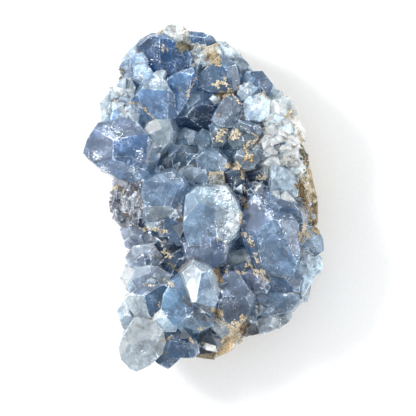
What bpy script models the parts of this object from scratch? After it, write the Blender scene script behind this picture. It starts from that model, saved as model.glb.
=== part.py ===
"""Celestite cluster: a druse of grown-together crystals on a piece of its host rock.

The specimen lies on the broken back of its host rock, crystals up.
Metres, +Z up, +Y along the long side. Its origin is under the middle, on the surface that it lies on.
"""

import math
import random

import bmesh
import bpy
from mathutils import Matrix, Vector

# One millimetre in metres: every size below is in millimetres
MM = 0.001

# Height at which the crust's skirt ends
SKIRT_HEIGHT = 9.0

# How far neighbouring crystals grow into each other, the extra lean of the sides where they do,
# and how far below its top a crystal has the outline given for it
OVERLAP = 0.45
SIDE_LEAN = 5.0
SHOULDER = 3.0
RIM_LEAN = 2

# A crystal that reaches past the crust's rim, or nearly, is undercut: how far below its top, and how steeply
RIM_BAND = 1.0
RIM_DEPTH = 10.0
RIM_UNDERCUT = 52.0

# The rock: height of its widest level, its mean top and how deep its belly would reach uncut, with
# the gap kept between rock and crust, and the flat breaks around its sides (direction in degrees
# from +X, how far below level each break faces, and how much it takes off)
ROCK_WAIST = 9.5
ROCK_TOP = 17.0
ROCK_BELLY = 9.9
ROCK_GAP = 0.3
ROCK_BREAKS = [
    (8, 30, 1.2), (40, 42, 2.2), (72, 30, 2.0), (104, 46, 1.6), (140, 34, 2.0), (172, 44, 1.4),
    (205, 32, 1.6), (238, 46, 2.2), (262, 30, 1.4), (292, 40, 2.0), (325, 34, 1.8), (350, 50, 1.6),
]

# The crust under the crystals: its height in the middle and at the rim, and a hollow in it
CRUST_HEIGHT = 27.5
CRUST_RIM_HEIGHT = 15.0
HOLLOW_CENTRE = (2.0, 15.0)
HOLLOW_RADIUS = 11.0
HOLLOW_DEPTH = 5.0

# Plan outline of the crust, clockwise from the top, just inside the outermost crystals
CRUST_RIM = [
    (-8.0, 47.0), (0.0, 45.2), (8.0, 41.0), (14.0, 35.0), (20.8, 29.8), (25.2, 23.8), (27.6, 16.5),
    (28.8, 9.0), (28.8, 1.0), (29.8, -6.0), (32.4, -12.0), (32.6, -19.0), (28.8, -25.0), (24.0, -32.5),
    (17.5, -37.0), (9.5, -40.5), (0.0, -44.0), (-9.0, -45.5), (-17.5, -47.0), (-22.0, -43.0),
    (-22.6, -34.0), (-20.6, -26.0), (-21.4, -17.0), (-23.6, -8.0), (-25.0, 1.0), (-27.5, 9.0),
    (-29.5, 15.0), (-28.8, 23.8), (-26.4, 31.0), (-23.4, 37.6), (-18.4, 43.8),
]

# Plan outline of the host rock: it shows past the crust along the right edge and at the bottom
ROCK_RIM = [
    (-7.0, 43.5), (1.0, 42.0), (9.0, 37.0), (16.0, 30.5), (22.8, 24.8), (27.6, 18.2), (30.6, 11.0),
    (32.6, 4.0), (33.6, -3.0), (32.8, -9.5), (30.0, -16.0), (27.4, -22.0), (22.5, -29.5), (16.4, -36.2),
    (11.6, -42.2), (4.0, -45.4), (-5.0, -43.6), (-14.0, -42.0), (-19.5, -36.0), (-20.2, -28.0),
    (-18.6, -19.0), (-20.6, -9.0), (-22.4, 0.0), (-23.6, 9.0), (-25.0, 17.0), (-24.6, 25.0),
    (-21.8, 33.0), (-16.0, 40.0),
]

# The larger crystals, by hand from the photograph. Each has a plan outline, the point where its
# top facets meet (x, y, z), the facets (downhill direction from +X in degrees, slope in degrees,
# how far from that point the facet begins), and how much its sides lean outwards going down.
CRYSTALS = {
    "deep_blue": (
        [(-18.3, 43.0), (-15.5, 45.6), (-12.2, 46.3), (-5.0, 42.2), (-3.6, 40.0), (-4.6, 36.8),
         (-8.6, 34.2), (-11.5, 33.6), (-14.0, 35.6), (-17.0, 40.0)],
        (-12.8, 42.0, 33.5), [(292, 13, 0), (200, 34, 0), (85, 34, 3.0), (20, 38, 6.5)], 5),
    "upper_block": (
        [(-19.0, 29.0), (-17.0, 32.2), (-13.8, 34.2), (-11.0, 32.8), (-8.9, 29.0), (-8.6, 24.5),
         (-9.6, 22.2), (-13.8, 21.6), (-17.6, 26.2)],
        (-13.0, 30.4, 36.0), [(238, 16, 0), (100, 30, 0), (345, 46, 2.8)], 4),
    "upper_slope": (
        [(-10.4, 33.6), (-6.8, 35.8), (-3.4, 36.8), (-2.2, 34.5), (-2.6, 31.6), (-4.3, 28.9),
         (-7.0, 25.0), (-9.2, 22.6), (-9.9, 27.0)],
        (-4.6, 34.4, 35.0), [(232, 20, 0), (335, 50, 1.0), (95, 30, 0.6)], 5),
    "white_cap": (
        [(-13.0, 45.5), (-12.3, 48.0), (-10.5, 49.3), (-7.5, 49.9), (-5.8, 48.9), (-4.2, 47.0),
         (-4.2, 44.0), (-8.0, 42.2), (-12.0, 42.6)],
        (-8.4, 46.0, 30.0), [(95, 38, 0), (205, 24, 0), (318, 26, 0), (145, 34, 2.0), (20, 34, 2.4)], 1),
    "rim_upper_left": (
        [(-20.5, 43.0), (-18.5, 45.3), (-15.2, 47.3), (-13.2, 47.0), (-13.4, 44.6), (-17.5, 42.0)],
        (-16.6, 44.8, 27.5), [(120, 36, 0), (240, 20, 0), (330, 24, 0)], 1),
    "rim_left_top": (
        [(-24.3, 37.8), (-22.6, 41.2), (-20.5, 43.3), (-18.0, 42.6), (-18.0, 39.4), (-20.6, 37.2),
         (-23.3, 36.6)],
        (-20.6, 40.2, 28.5), [(140, 38, 0), (250, 26, 0), (20, 20, 0)], 1),
    "pale_blue_chip": (
        [(-21.2, 40.4), (-17.6, 41.2), (-15.4, 38.6), (-16.8, 37.0), (-21.0, 37.4)],
        (-18.2, 39.6, 31.5), [(255, 24, 0), (90, 30, 0), (350, 34, 0.8)], 6),
    "streaky": (
        [(-19.9, 37.4), (-17.0, 38.2), (-15.2, 36.4), (-14.2, 34.6), (-16.6, 32.4), (-19.6, 34.0)],
        (-16.9, 36.6, 33.0), [(228, 24, 0), (60, 30, 0), (320, 30, 1.2)], 5),
    "grey_slab": (
        [(-24.4, 37.2), (-21.6, 38.0), (-20.2, 36.4), (-20.2, 33.8), (-21.4, 32.8), (-23.0, 34.2)],
        (-21.6, 36.2, 29.0), [(235, 30, 0), (30, 30, 0), (110, 34, 0)], 2),
    "left_rough_high": (
        [(-26.4, 32.0), (-25.2, 34.2), (-21.8, 34.4), (-20.0, 31.4), (-20.8, 28.6), (-25.6, 28.8)],
        (-22.6, 31.6, 29.5), [(150, 34, 0), (262, 20, 0), (20, 26, 0), (90, 34, 1)], 2),
    "left_rough_mid": (
        [(-28.2, 28.2), (-25.8, 31.4), (-22.4, 31.0), (-20.6, 28.2), (-22.6, 25.6), (-27.6, 26.0)],
        (-24.2, 28.6, 28.0), [(170, 34, 0), (275, 24, 0), (50, 24, 0)], 1),
    "left_rough_low": (
        [(-29.4, 25.6), (-28.2, 28.4), (-25.2, 28.0), (-24.4, 25.0), (-26.4, 23.4), (-29.2, 23.8)],
        (-26.8, 26.4, 26.5), [(160, 36, 0), (290, 24, 0), (40, 30, 0)], 1),
    "pale_sky": (
        [(-26.6, 22.4), (-25.8, 25.2), (-21.6, 27.0), (-18.2, 26.8), (-14.4, 22.4), (-15.2, 20.4),
         (-18.0, 19.6), (-26.0, 21.4)],
        (-20.4, 25.6, 31.5), [(248, 15, 0), (60, 26, 0), (330, 24, 1.5), (130, 30, 2.5)], 4),
    "pale_corner": (
        [(-29.9, 23.4), (-28.0, 25.2), (-26.4, 24.2), (-25.8, 21.6), (-29.6, 21.4)],
        (-27.8, 23.4, 26.5), [(170, 32, 0), (280, 24, 0), (50, 30, 0)], 1),
    "grey_window": (
        [(-17.4, 18.6), (-15.6, 21.0), (-13.8, 22.0), (-10.0, 21.9), (-9.0, 18.6), (-9.8, 16.0),
         (-13.2, 12.6), (-15.0, 12.8), (-17.0, 15.6)],
        (-12.3, 19.3, 35.8), [(218, 15, 0), (334, 22, 0), (150, 22, 0), (92, 22, 0.8), (265, 40, 5.0)], 4),
    "long_left": (
        [(-34.6, 13.0), (-33.3, 17.0), (-30.3, 21.2), (-24.5, 22.3), (-19.4, 21.2), (-16.0, 17.0),
         (-13.0, 12.0), (-14.2, 8.6), (-16.0, 5.4), (-18.6, 3.9), (-24.5, 5.7), (-29.6, 8.6), (-32.6, 11.0)],
        (-21.8, 16.6, 36.5),
        [(292, 12, 0), (97, 30, 0.4), (198, 28, 4.2), (258, 50, 7.0), (340, 34, 6.0)], 2),
    "top_blue": (
        [(-4.3, 47.8), (-1.4, 47.4), (1.0, 46.8), (2.6, 45.9), (3.4, 44.4), (1.0, 43.0), (-3.2, 43.4)],
        (-0.6, 45.6, 29.5), [(88, 36, 0), (250, 22, 0), (340, 30, 0.5)], 1),
    "granular_top": (
        [(-4.4, 40.6), (-3.4, 43.6), (0.2, 43.4), (0.6, 38.6), (-1.6, 36.8), (-3.9, 38.0)],
        (-1.8, 41.2, 31.0), [(262, 20, 0), (80, 24, 0), (345, 20, 0.5)], 4),
    "tan_bearer_top": (
        [(0.0, 40.0), (0.6, 42.6), (3.6, 43.5), (4.9, 40.8), (3.8, 37.6), (0.6, 37.8)],
        (2.2, 41.2, 31.8), [(250, 20, 0), (60, 26, 0), (340, 24, 0.8)], 4),
    "icy_upper": (
        [(3.6, 43.6), (4.4, 44.7), (6.0, 44.6), (8.2, 42.8), (10.2, 40.4), (8.6, 38.4), (5.6, 39.2),
         (3.8, 41.4)],
        (6.4, 42.0, 30.0), [(55, 38, 0), (212, 16, 0), (308, 26, 0)], 1),
    "upper_rim_slate": (
        [(8.4, 39.0), (9.8, 40.8), (12.4, 38.6), (13.6, 36.6), (12.2, 34.2), (9.0, 34.4)],
        (10.2, 37.4, 29.5), [(45, 38, 0), (228, 20, 0), (330, 26, 0)], 1),
    "slate_blue": (
        [(-1.7, 31.9), (-1.0, 35.0), (2.2, 38.2), (5.0, 40.2), (8.6, 38.0), (9.6, 34.4), (9.8, 31.0),
         (7.0, 30.4), (1.5, 30.5)],
        (4.4, 37.4, 34.5), [(270, 15, 0), (212, 24, 0), (60, 28, 0), (342, 26, 2)], 3),
    "dark_rim": (
        [(10.4, 33.0), (12.6, 36.0), (16.6, 36.1), (19.4, 32.6), (18.6, 30.2), (15.0, 29.6), (11.4, 30.6)],
        (14.6, 33.6, 31.0), [(62, 36, 0), (196, 20, 0), (282, 26, 0), (340, 30, 0.5)], 1),
    "pale_facet_block": (
        [(9.6, 31.6), (12.6, 32.6), (15.0, 31.2), (13.4, 28.6), (10.8, 27.6), (9.6, 29.4)],
        (12.6, 31.0, 32.5), [(232, 24, 0), (60, 34, 0), (325, 30, 0)], 5),
    "grey_ice": (
        [(18.2, 29.8), (18.8, 31.6), (21.4, 30.8), (22.8, 29.0), (20.4, 27.6), (18.4, 28.0)],
        (20.0, 29.6, 27.0), [(40, 32, 0), (225, 20, 0), (310, 24, 0)], 1),
    "white_upper": (
        [(11.2, 26.8), (12.6, 28.8), (16.4, 29.4), (18.6, 27.4), (18.2, 23.6), (15.6, 21.8), (12.0, 22.4)],
        (14.8, 26.8, 32.0), [(225, 22, 0), (60, 26, 0), (320, 22, 0)], 4),
    "white_far": (
        [(17.6, 27.0), (20.6, 28.2), (24.4, 26.8), (26.2, 22.2), (24.8, 19.4), (19.6, 19.8), (17.4, 22.4)],
        (21.4, 24.8, 29.5), [(40, 34, 0), (200, 16, 0), (290, 18, 0)], 1),
    "white_lower": (
        [(17.0, 19.6), (20.4, 21.4), (25.6, 20.8), (28.2, 16.6), (27.6, 12.4), (21.4, 11.6), (17.6, 14.2)],
        (22.0, 18.0, 30.0), [(28, 30, 0), (180, 16, 0), (275, 18, 0), (100, 24, 0.5)], 2),
    "grey_right": (
        [(19.6, 11.4), (24.0, 13.6), (29.4, 13.0), (30.0, 8.4), (27.4, 5.6), (22.4, 6.4)],
        (24.4, 10.6, 28.0), [(15, 30, 0), (170, 20, 0), (270, 24, 0), (85, 22, 0)], 1),
    "hollow_upper": (
        [(-9.2, 21.2), (-7.6, 25.0), (-5.2, 28.2), (-3.2, 30.2), (4.0, 30.0), (5.5, 27.6), (5.6, 25.6),
         (3.4, 22.4), (0.4, 19.8), (-4.6, 20.0)],
        (-3.2, 25.6, 31.0), [(202, 26, 0), (70, 10, 0), (292, 40, 0), (262, 58, 3.6), (20, 24, 3.0)], 3),
    "hollow_fleck": (
        [(1.3, 28.0), (2.4, 29.2), (4.4, 28.6), (4.6, 27.0), (3.0, 26.5)],
        (2.6, 28.2, 31.6), [(150, 22, 0), (330, 24, 0)], 8),
    "hollow_right": (
        [(2.6, 22.2), (4.2, 25.8), (5.8, 28.6), (7.4, 29.7), (10.4, 27.4), (11.9, 24.2), (11.0, 22.0),
         (8.6, 20.4), (4.4, 20.4)],
        (7.8, 26.8, 33.0), [(214, 22, 0), (338, 34, 0), (80, 34, 1.2), (285, 34, 4.2)], 4),
    "curved_slate": (
        [(8.4, 20.4), (10.0, 21.9), (12.6, 21.9), (15.2, 20.6), (16.6, 19.2), (15.8, 17.8), (12.8, 18.2)],
        (12.8, 20.4, 31.5), [(70, 32, 0), (250, 26, 0), (350, 26, 1.5)], 6),
    "tan_bearer_left": (
        [(1.6, 18.2), (3.4, 20.4), (6.6, 20.0), (7.0, 16.8), (5.0, 14.6), (2.4, 15.2)],
        (4.8, 18.0, 29.0), [(240, 22, 0), (60, 24, 0), (330, 24, 0)], 7),
    "tan_bearer_right": (
        [(7.2, 18.6), (8.8, 20.2), (13.6, 18.6), (15.4, 17.2), (13.0, 14.0), (8.6, 13.6), (6.9, 16.0)],
        (10.4, 17.6, 30.0), [(248, 16, 0), (60, 20, 0), (340, 20, 0.5)], 6),
    "violet_grey": (
        [(13.4, 13.0), (16.2, 14.6), (19.4, 13.6), (18.8, 11.0), (15.4, 10.4)],
        (16.4, 13.2, 30.0), [(262, 24, 0), (60, 30, 0), (340, 26, 0.5)], 5),
    "round_grey": (
        [(8.6, 11.4), (9.4, 13.0), (12.0, 13.8), (14.6, 12.6), (15.8, 10.6), (14.2, 8.8), (11.2, 8.1),
         (9.2, 9.2)],
        (12.0, 11.2, 31.5), [(20, 24, 0), (110, 24, 0), (200, 20, 0), (285, 24, 0)], 7),
    "dark_mid": (
        [(-15.5, 6.2), (-13.6, 10.0), (-12.4, 12.4), (-9.4, 12.6), (-9.4, 8.4), (-11.0, 6.4)],
        (-12.0, 10.4, 29.0), [(240, 28, 0), (338, 34, 0), (90, 34, 0)], 6),
    "rubble_a": (
        [(-9.6, 17.8), (-5.8, 19.8), (-2.0, 18.6), (-3.0, 15.2), (-8.4, 14.4)],
        (-5.8, 17.8, 27.5), [(250, 28, 0), (80, 30, 0), (350, 28, 0)], 8),
    "rubble_b": (
        [(-3.2, 17.0), (-0.6, 19.6), (3.0, 18.0), (3.4, 14.6), (-1.0, 13.4)],
        (0.4, 16.8, 27.0), [(222, 26, 0), (60, 30, 0), (320, 28, 0)], 8),
    "rubble_c": (
        [(-9.8, 13.6), (-6.4, 15.2), (-2.2, 13.6), (-2.6, 9.2), (-8.0, 8.2)],
        (-5.6, 13.0, 28.6), [(250, 26, 0), (30, 28, 0), (140, 28, 0)], 7),
    "pale_block": (
        [(-16.5, 4.2), (-13.0, 6.2), (-9.2, 6.8), (-6.4, 5.2), (-4.9, 2.2), (-5.2, -1.2), (-8.6, -4.6),
         (-12.2, -6.4), (-16.2, -6.0), (-16.9, -1.0)],
        (-9.4, 3.6, 39.0), [(226, 13, 0), (318, 32, 2.2), (98, 34, 0.5), (262, 46, 6.3)], 3),
    "left_of_centre": (
        [(-8.6, -4.4), (-7.0, -3.6), (-4.4, -5.4), (-4.2, -12.6), (-7.4, -13.3), (-9.6, -11.6),
         (-11.4, -9.0), (-11.2, -6.8)],
        (-6.4, -4.6, 36.0), [(252, 24, 0), (150, 26, 0.6), (310, 30, 1.8)], 3),
    "pale_tongue": (
        [(-16.8, -6.8), (-14.6, -6.0), (-11.4, -6.6), (-10.2, -8.6), (-11.0, -10.4), (-15.6, -9.0)],
        (-13.0, -7.2, 32.0), [(255, 20, 0), (95, 26, 0), (345, 30, 1)], 5),
    "sugary_left": (
        [(-26.4, 4.6), (-24.0, 6.4), (-18.4, 5.0), (-16.6, 2.4), (-16.8, -5.6), (-18.6, -8.6), (-22.6, -9.8),
         (-25.6, -7.0), (-26.6, -2.6)],
        (-21.4, -1.0, 27.5), [(180, 24, 0), (270, 14, 0), (80, 8, 0), (340, 10, 0)], 2),
    "violet_left": (
        [(-24.2, -9.8), (-21.0, -8.8), (-17.2, -9.2), (-16.4, -13.4), (-18.8, -16.2), (-22.8, -14.4)],
        (-19.6, -10.8, 27.5), [(250, 26, 0), (80, 26, 0), (345, 26, 1), (170, 34, 1)], 2),
    "teal_dark": (
        [(-17.4, -10.8), (-14.4, -9.4), (-10.0, -10.6), (-8.2, -13.6), (-9.4, -16.6), (-13.0, -17.6),
         (-16.6, -15.0)],
        (-12.6, -12.2, 30.0), [(262, 26, 0), (90, 26, 0), (340, 28, 0.5), (200, 26, 1)], 5),
    "mid_pale": (
        [(-2.3, 11.0), (-0.6, 12.9), (3.6, 13.1), (6.0, 10.6), (6.7, 8.2), (5.0, 6.9), (0.6, 7.2),
         (-1.8, 8.8)],
        (2.4, 11.4, 33.0), [(246, 22, 0), (75, 30, 0), (345, 26, 1)], 5),
    "grey_rubble_mid": (
        [(-7.6, 6.8), (-3.6, 8.6), (0.4, 7.6), (1.4, 4.8), (-0.6, 2.2), (-4.6, 2.0), (-6.8, 4.6)],
        (-3.4, 6.4, 33.0), [(248, 18, 0), (70, 26, 0), (340, 22, 0.5)], 6),
    "rough_brown": (
        [(1.0, 5.4), (1.8, 7.0), (5.2, 7.0), (5.6, 3.2), (3.4, 2.2), (1.6, 3.4)],
        (3.2, 5.6, 34.0), [(250, 16, 0), (40, 20, 0), (140, 24, 0)], 6),
    "dark_slate": (
        [(5.6, 6.8), (9.8, 8.3), (11.2, 4.0), (12.2, 0.0), (10.4, -2.0), (8.4, -1.2), (5.6, 3.2)],
        (9.2, 6.8, 33.0), [(216, 26, 0), (318, 34, 0), (90, 34, 0)], 5),
    "dark_hollow_block": (
        [(11.6, 7.8), (14.6, 9.4), (18.8, 10.2), (19.8, 6.0), (18.2, 3.2), (13.4, 3.6)],
        (15.8, 7.4, 27.5), [(250, 26, 0), (30, 20, 0), (140, 24, 0)], 8),
    "white_chip": (
        [(14.0, 1.2), (15.0, 3.0), (16.2, 3.8), (16.6, 2.0), (15.6, 0.8)],
        (15.4, 2.6, 30.5), [(150, 22, 0), (320, 30, 0)], 5),
    "violet_chip": (
        [(12.4, 4.0), (14.6, 4.4), (18.0, 3.0), (17.8, 0.6), (13.2, -0.2), (11.8, 1.2)],
        (14.6, 1.6, 28.6), [(230, 20, 0), (70, 22, 0), (340, 24, 0)], 6),
    "pale_right": (
        [(19.2, 8.6), (20.6, 9.4), (24.2, 7.0), (26.4, 3.6), (26.4, 0.4), (24.0, -0.8), (19.2, 0.0)],
        (21.6, 6.2, 33.0), [(264, 15, 0), (40, 32, 0), (170, 40, 1.5)], 3),
    "white_spot": (
        [(26.2, 1.8), (27.8, 3.6), (29.2, 1.8), (28.4, 0.0), (26.6, -0.2)],
        (27.6, 2.0, 28.0), [(160, 20, 0), (300, 28, 0), (40, 30, 0)], 4),
    "centre": (
        [(-4.8, 0.2), (-1.8, 2.4), (5.8, 2.4), (8.8, -1.6), (10.2, -5.2), (8.6, -10.8), (5.8, -13.2),
         (-4.0, -13.3), (-5.4, -9.5), (-5.4, -4.5)],
        (2.6, -3.4, 41.5), [(240, 20, 0), (84, 24, 0.3), (322, 23, 0.2), (172, 34, 5.2)], 3),
    "below_centre": (
        [(-5.4, -13.4), (-1.6, -11.4), (2.8, -10.4), (6.6, -14.2), (5.6, -18.2), (1.0, -20.8),
         (-2.0, -19.8), (-4.6, -16.8)],
        (2.4, -12.3, 39.0), [(294, 16, 0), (214, 26, 0.8), (80, 34, 0.8), (340, 32, 3.2)], 4),
    "large_right": (
        [(10.2, -6.4), (12.4, -2.0), (14.4, 0.6), (18.6, 0.8), (22.4, -2.4), (26.4, -8.0), (26.4, -17.0),
         (24.6, -21.6), (18.8, -24.0), (15.8, -20.6), (11.6, -12.4)],
        (19.0, -6.4, 38.0), [(176, 18, 0), (262, 20, 0), (58, 30, 0.5), (345, 26, 2.0), (228, 30, 6.5)], 3),
    "right_slate": (
        [(20.0, -2.4), (21.6, -0.8), (25.4, -2.2), (27.8, -4.6), (27.6, -9.8), (25.6, -12.6), (22.0, -10.8),
         (20.2, -6.4)],
        (22.2, -3.4, 36.5), [(292, 18, 0), (192, 48, 1.0), (70, 34, 0.4)], 3),
    "navy_recess": (
        [(8.2, -12.8), (9.6, -10.2), (12.2, -9.4), (14.6, -12.4), (14.0, -14.6), (10.6, -15.0)],
        (11.6, -11.6, 30.5), [(225, 24, 0), (40, 24, 0), (310, 28, 0)], 6),
    "right_edge_upper": (
        [(26.4, -11.0), (29.0, -8.4), (32.6, -9.4), (34.2, -12.0), (34.2, -15.4), (32.0, -17.0),
         (27.4, -14.6)],
        (29.6, -11.6, 28.5), [(60, 32, 0), (260, 22, 0), (0, 34, 2), (180, 24, 0)], 1),
    "right_edge_lower": (
        [(26.0, -18.2), (28.6, -15.8), (32.8, -16.8), (34.3, -19.6), (33.2, -22.2), (29.4, -23.6),
         (26.4, -21.6)],
        (29.4, -18.8, 27.5), [(30, 32, 0), (250, 20, 0), (310, 30, 0.5), (150, 24, 0)], 1),
    "speckled": (
        [(2.8, -19.2), (6.4, -16.2), (11.0, -14.9), (14.8, -17.0), (16.6, -20.2), (13.5, -21.6),
         (6.0, -21.6), (4.0, -21.2)],
        (9.6, -18.4, 33.0), [(88, 24, 0), (268, 18, 0), (350, 26, 1.5), (190, 26, 1.5)], 6),
    "violet_wedge": (
        [(9.8, -22.2), (13.4, -20.8), (16.2, -21.8), (17.8, -24.2), (16.6, -25.9), (11.4, -25.2)],
        (13.6, -21.9, 36.0), [(264, 22, 0), (75, 36, 0), (342, 30, 1.2)], 5),
    "tall_lower": (
        [(4.2, -24.4), (6.6, -21.5), (9.4, -21.6), (11.4, -24.6), (13.7, -28.2), (13.2, -30.6),
         (10.6, -35.2), (8.8, -36.4), (6.0, -34.6), (4.1, -31.2)],
        (8.6, -28.0, 39.0), [(98, 20, 0), (262, 24, 0.2), (352, 36, 3.0), (185, 34, 3.0)], 3),
    "mass_blue": (
        [(15.0, -23.6), (17.6, -21.6), (24.6, -21.2), (27.4, -24.0), (26.8, -26.8), (21.0, -27.4),
         (15.8, -26.4)],
        (21.0, -23.4, 32.5), [(262, 24, 0), (80, 26, 0), (0, 28, 3.0), (190, 26, 3.0)], 5),
    "mass_slate": (
        [(12.8, -29.6), (14.4, -26.0), (20.6, -25.8), (26.4, -27.2), (27.0, -29.6), (24.6, -32.4),
         (17.6, -33.8), (13.4, -32.8)],
        (20.4, -27.8, 31.0), [(252, 22, 0), (85, 26, 0), (330, 26, 3.0)], 3),
    "mass_rim": (
        [(26.0, -24.4), (28.0, -21.8), (31.8, -22.6), (30.6, -24.8), (28.6, -28.4), (26.6, -31.0),
         (25.2, -28.6)],
        (28.0, -25.2, 27.5), [(330, 34, 0), (240, 22, 0), (100, 26, 0)], 1),
    "pale_grey_low": (
        [(15.2, -35.8), (18.0, -33.8), (22.8, -32.4), (25.2, -33.0), (25.0, -35.3), (21.9, -37.6),
         (16.4, -39.7)],
        (20.0, -34.9, 26.5), [(292, 26, 0), (200, 20, 0), (85, 26, 0), (0, 30, 3)], 1),
    "dark_low": (
        [(11.8, -34.6), (14.6, -33.6), (16.0, -36.4), (15.6, -39.4), (12.8, -40.0)],
        (14.0, -36.2, 25.0), [(280, 30, 0), (60, 30, 0), (170, 30, 0)], 2),
    "hero": (
        [(-5.9, -21.4), (-3.0, -18.4), (0.8, -19.8), (3.2, -21.4), (4.0, -24.0), (3.6, -29.0),
         (1.4, -32.6), (-3.4, -29.6), (-5.0, -25.0)],
        (-1.6, -25.6, 42.0), [(172, 22, 0), (346, 21, 0), (6, 52, 4.4), (268, 52, 4.2), (72, 36, 4.6)], 3),
    "cloudy_blue": (
        [(-11.6, -27.8), (-9.8, -24.6), (-5.8, -22.0), (-1.2, -28.4), (2.0, -33.0), (2.0, -36.0),
         (-1.8, -37.8), (-5.8, -38.4), (-10.2, -34.4), (-11.9, -30.6)],
        (-6.6, -27.2, 36.5), [(238, 18, 0), (330, 20, 0.4), (100, 30, 0.8), (284, 36, 7.0)], 4),
    "striped_pale": (
        [(-15.0, -35.8), (-14.2, -33.4), (-12.4, -31.9), (-10.4, -33.4), (-7.2, -36.4), (-8.4, -38.2),
         (-12.6, -38.2)],
        (-12.2, -33.8, 34.2), [(276, 18, 0), (150, 22, 0), (40, 30, 0)], 5),
    "teal": (
        [(-22.7, -29.9), (-21.0, -28.0), (-18.0, -25.8), (-14.4, -25.0), (-11.0, -25.2), (-10.6, -27.0),
         (-12.6, -32.0), (-14.9, -35.6), (-19.4, -34.2), (-21.8, -31.6)],
        (-16.4, -27.6, 35.0), [(300, 18, 0), (118, 30, 0), (232, 26, 1.0), (258, 44, 5.5)], 2),
    "grey_violet": (
        [(-20.8, -23.4), (-19.2, -20.4), (-16.0, -19.6), (-13.4, -20.0), (-9.8, -22.6), (-10.8, -24.6),
         (-14.2, -25.4), (-19.4, -25.6)],
        (-15.2, -21.3, 33.4), [(262, 22, 0), (150, 22, 0), (40, 30, 0), (335, 22, 1.5)], 3),
    "grey_left_low": (
        [(-22.6, -17.6), (-20.0, -14.4), (-15.0, -13.6), (-12.4, -17.0), (-13.6, -19.4), (-18.6, -20.2),
         (-21.6, -20.0)],
        (-16.4, -15.6, 31.0), [(262, 22, 0), (100, 30, 0), (175, 28, 1.5), (345, 28, 0.5)], 2),
    "rim_small_left": (
        [(-22.4, -25.2), (-20.4, -23.0), (-18.4, -24.8), (-18.8, -27.4), (-21.2, -28.0)],
        (-20.4, -25.0, 28.0), [(180, 32, 0), (280, 30, 0), (40, 32, 0)], 1),
    "navy_facet": (
        [(-12.4, -18.4), (-9.6, -16.4), (-7.0, -15.2), (-3.2, -17.6), (-5.0, -21.4), (-8.0, -23.2),
         (-11.4, -21.8)],
        (-7.4, -17.6, 31.5), [(282, 28, 0), (218, 26, 0), (90, 30, 0), (345, 28, 1)], 5),
    "pale_rim_low": (
        [(-25.0, -33.2), (-23.8, -31.2), (-21.4, -30.8), (-19.8, -33.6), (-21.0, -35.8), (-24.5, -36.0)],
        (-22.0, -33.0, 28.5), [(170, 30, 0), (268, 24, 0), (60, 28, 0)], 1),
    "grey_rim_low": (
        [(-24.2, -35.6), (-21.6, -34.8), (-20.6, -37.6), (-22.4, -38.9), (-23.8, -37.6)],
        (-22.0, -36.2, 26.5), [(190, 32, 0), (300, 28, 0), (70, 26, 0)], 1),
    "lower_left": (
        [(-23.6, -41.4), (-21.6, -37.4), (-19.6, -34.4), (-15.0, -35.4), (-12.2, -38.0), (-11.5, -41.4),
         (-12.6, -45.2), (-15.6, -48.2), (-19.4, -49.9), (-21.4, -49.2), (-23.8, -46.4), (-24.4, -44.0)],
        (-18.0, -42.0, 35.0), [(96, 12, 0), (262, 22, 0), (346, 42, 4.2), (186, 36, 4.0)], 1),
    "dark_wedge": (
        [(-14.4, -47.2), (-12.2, -43.6), (-7.4, -44.8), (-7.6, -47.1), (-10.4, -49.6), (-12.6, -48.7)],
        (-10.6, -46.0, 24.0), [(280, 32, 0), (200, 26, 0), (60, 26, 0)], 1),
    "blue_bottom": (
        [(-12.2, -42.6), (-11.0, -39.0), (-8.0, -37.6), (-4.2, -38.4), (-1.9, -42.6), (-1.9, -45.0),
         (-3.4, -46.1), (-8.6, -45.9), (-12.0, -44.4)],
        (-7.2, -41.4, 32.5), [(268, 16, 0), (72, 24, 0), (340, 26, 2.4), (190, 28, 2.6)], 2),
    "bottom_dark": (
        [(-2.0, -40.6), (-0.6, -37.0), (2.2, -37.2), (5.6, -39.6), (5.6, -41.4), (3.4, -44.6), (-1.6, -45.2)],
        (1.4, -40.2, 28.5), [(268, 20, 0), (70, 26, 0), (345, 26, 1), (180, 26, 1.5)], 2),
    "bottom_bar": (
        [(-0.6, -43.0), (0.4, -41.9), (3.0, -42.7), (3.2, -44.0), (0.6, -43.7)],
        (1.4, -42.9, 29.0), [(150, 22, 0), (300, 34, 0)], 3),
    "grey_crusted": (
        [(1.8, -34.4), (4.0, -33.0), (6.8, -34.2), (8.9, -36.2), (7.6, -39.2), (5.2, -40.0), (2.4, -37.6)],
        (4.8, -35.2, 31.0), [(258, 26, 0), (60, 26, 0), (345, 26, 1)], 4),
    "matrix_blade": (
        [(11.0, -33.6), (12.6, -34.8), (10.0, -40.8), (7.6, -44.3), (3.2, -46.2), (4.8, -42.6), (8.4, -37.2)],
        (10.8, -36.0, 27.0), [(240, 15, 0), (330, 40, 0.5), (150, 34, 1)], 2),
    "bottom_rim": (
        [(-2.2, -44.6), (0.4, -43.6), (3.6, -44.8), (2.9, -46.9), (0.2, -46.6), (-2.0, -46.2)],
        (0.8, -45.0, 23.5), [(270, 34, 0), (90, 26, 0), (10, 26, 0)], 1),
}

# Sugary margins, thick with small crystals: middle and half-widths in plan, number, size range
SUGARY_MARGINS = [
    ((22.2, 18.6), (5.2, 10.2), 44, (2.6, 4.2)),
    ((-24.4, 29.0), (4.0, 6.4), 17, (2.4, 3.8)),
    ((-21.4, -2.0), (4.6, 6.6), 18, (2.4, 3.8)),
    ((-2.0, 40.4), (2.4, 3.0), 7, (2.0, 3.2)),
]

# Small crystals in the crevices and around the side: their numbers and size ranges
CREVICE_COUNT = 56
CREVICE_SIZE = (2.6, 4.4)
CREVICE_DEPTH = 0.7
SIDE_COUNT = 40
SIDE_SIZE = (3.0, 5.4)
SMALL_SINK = 0.45
LOWEST_PLACE = 17.0
SMALL_SEED = 41

CELESTITE_BLUE = (0.36, 0.47, 0.60, 1.0)
HOST_ROCK_TAN = (0.42, 0.37, 0.29, 1.0)


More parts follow.
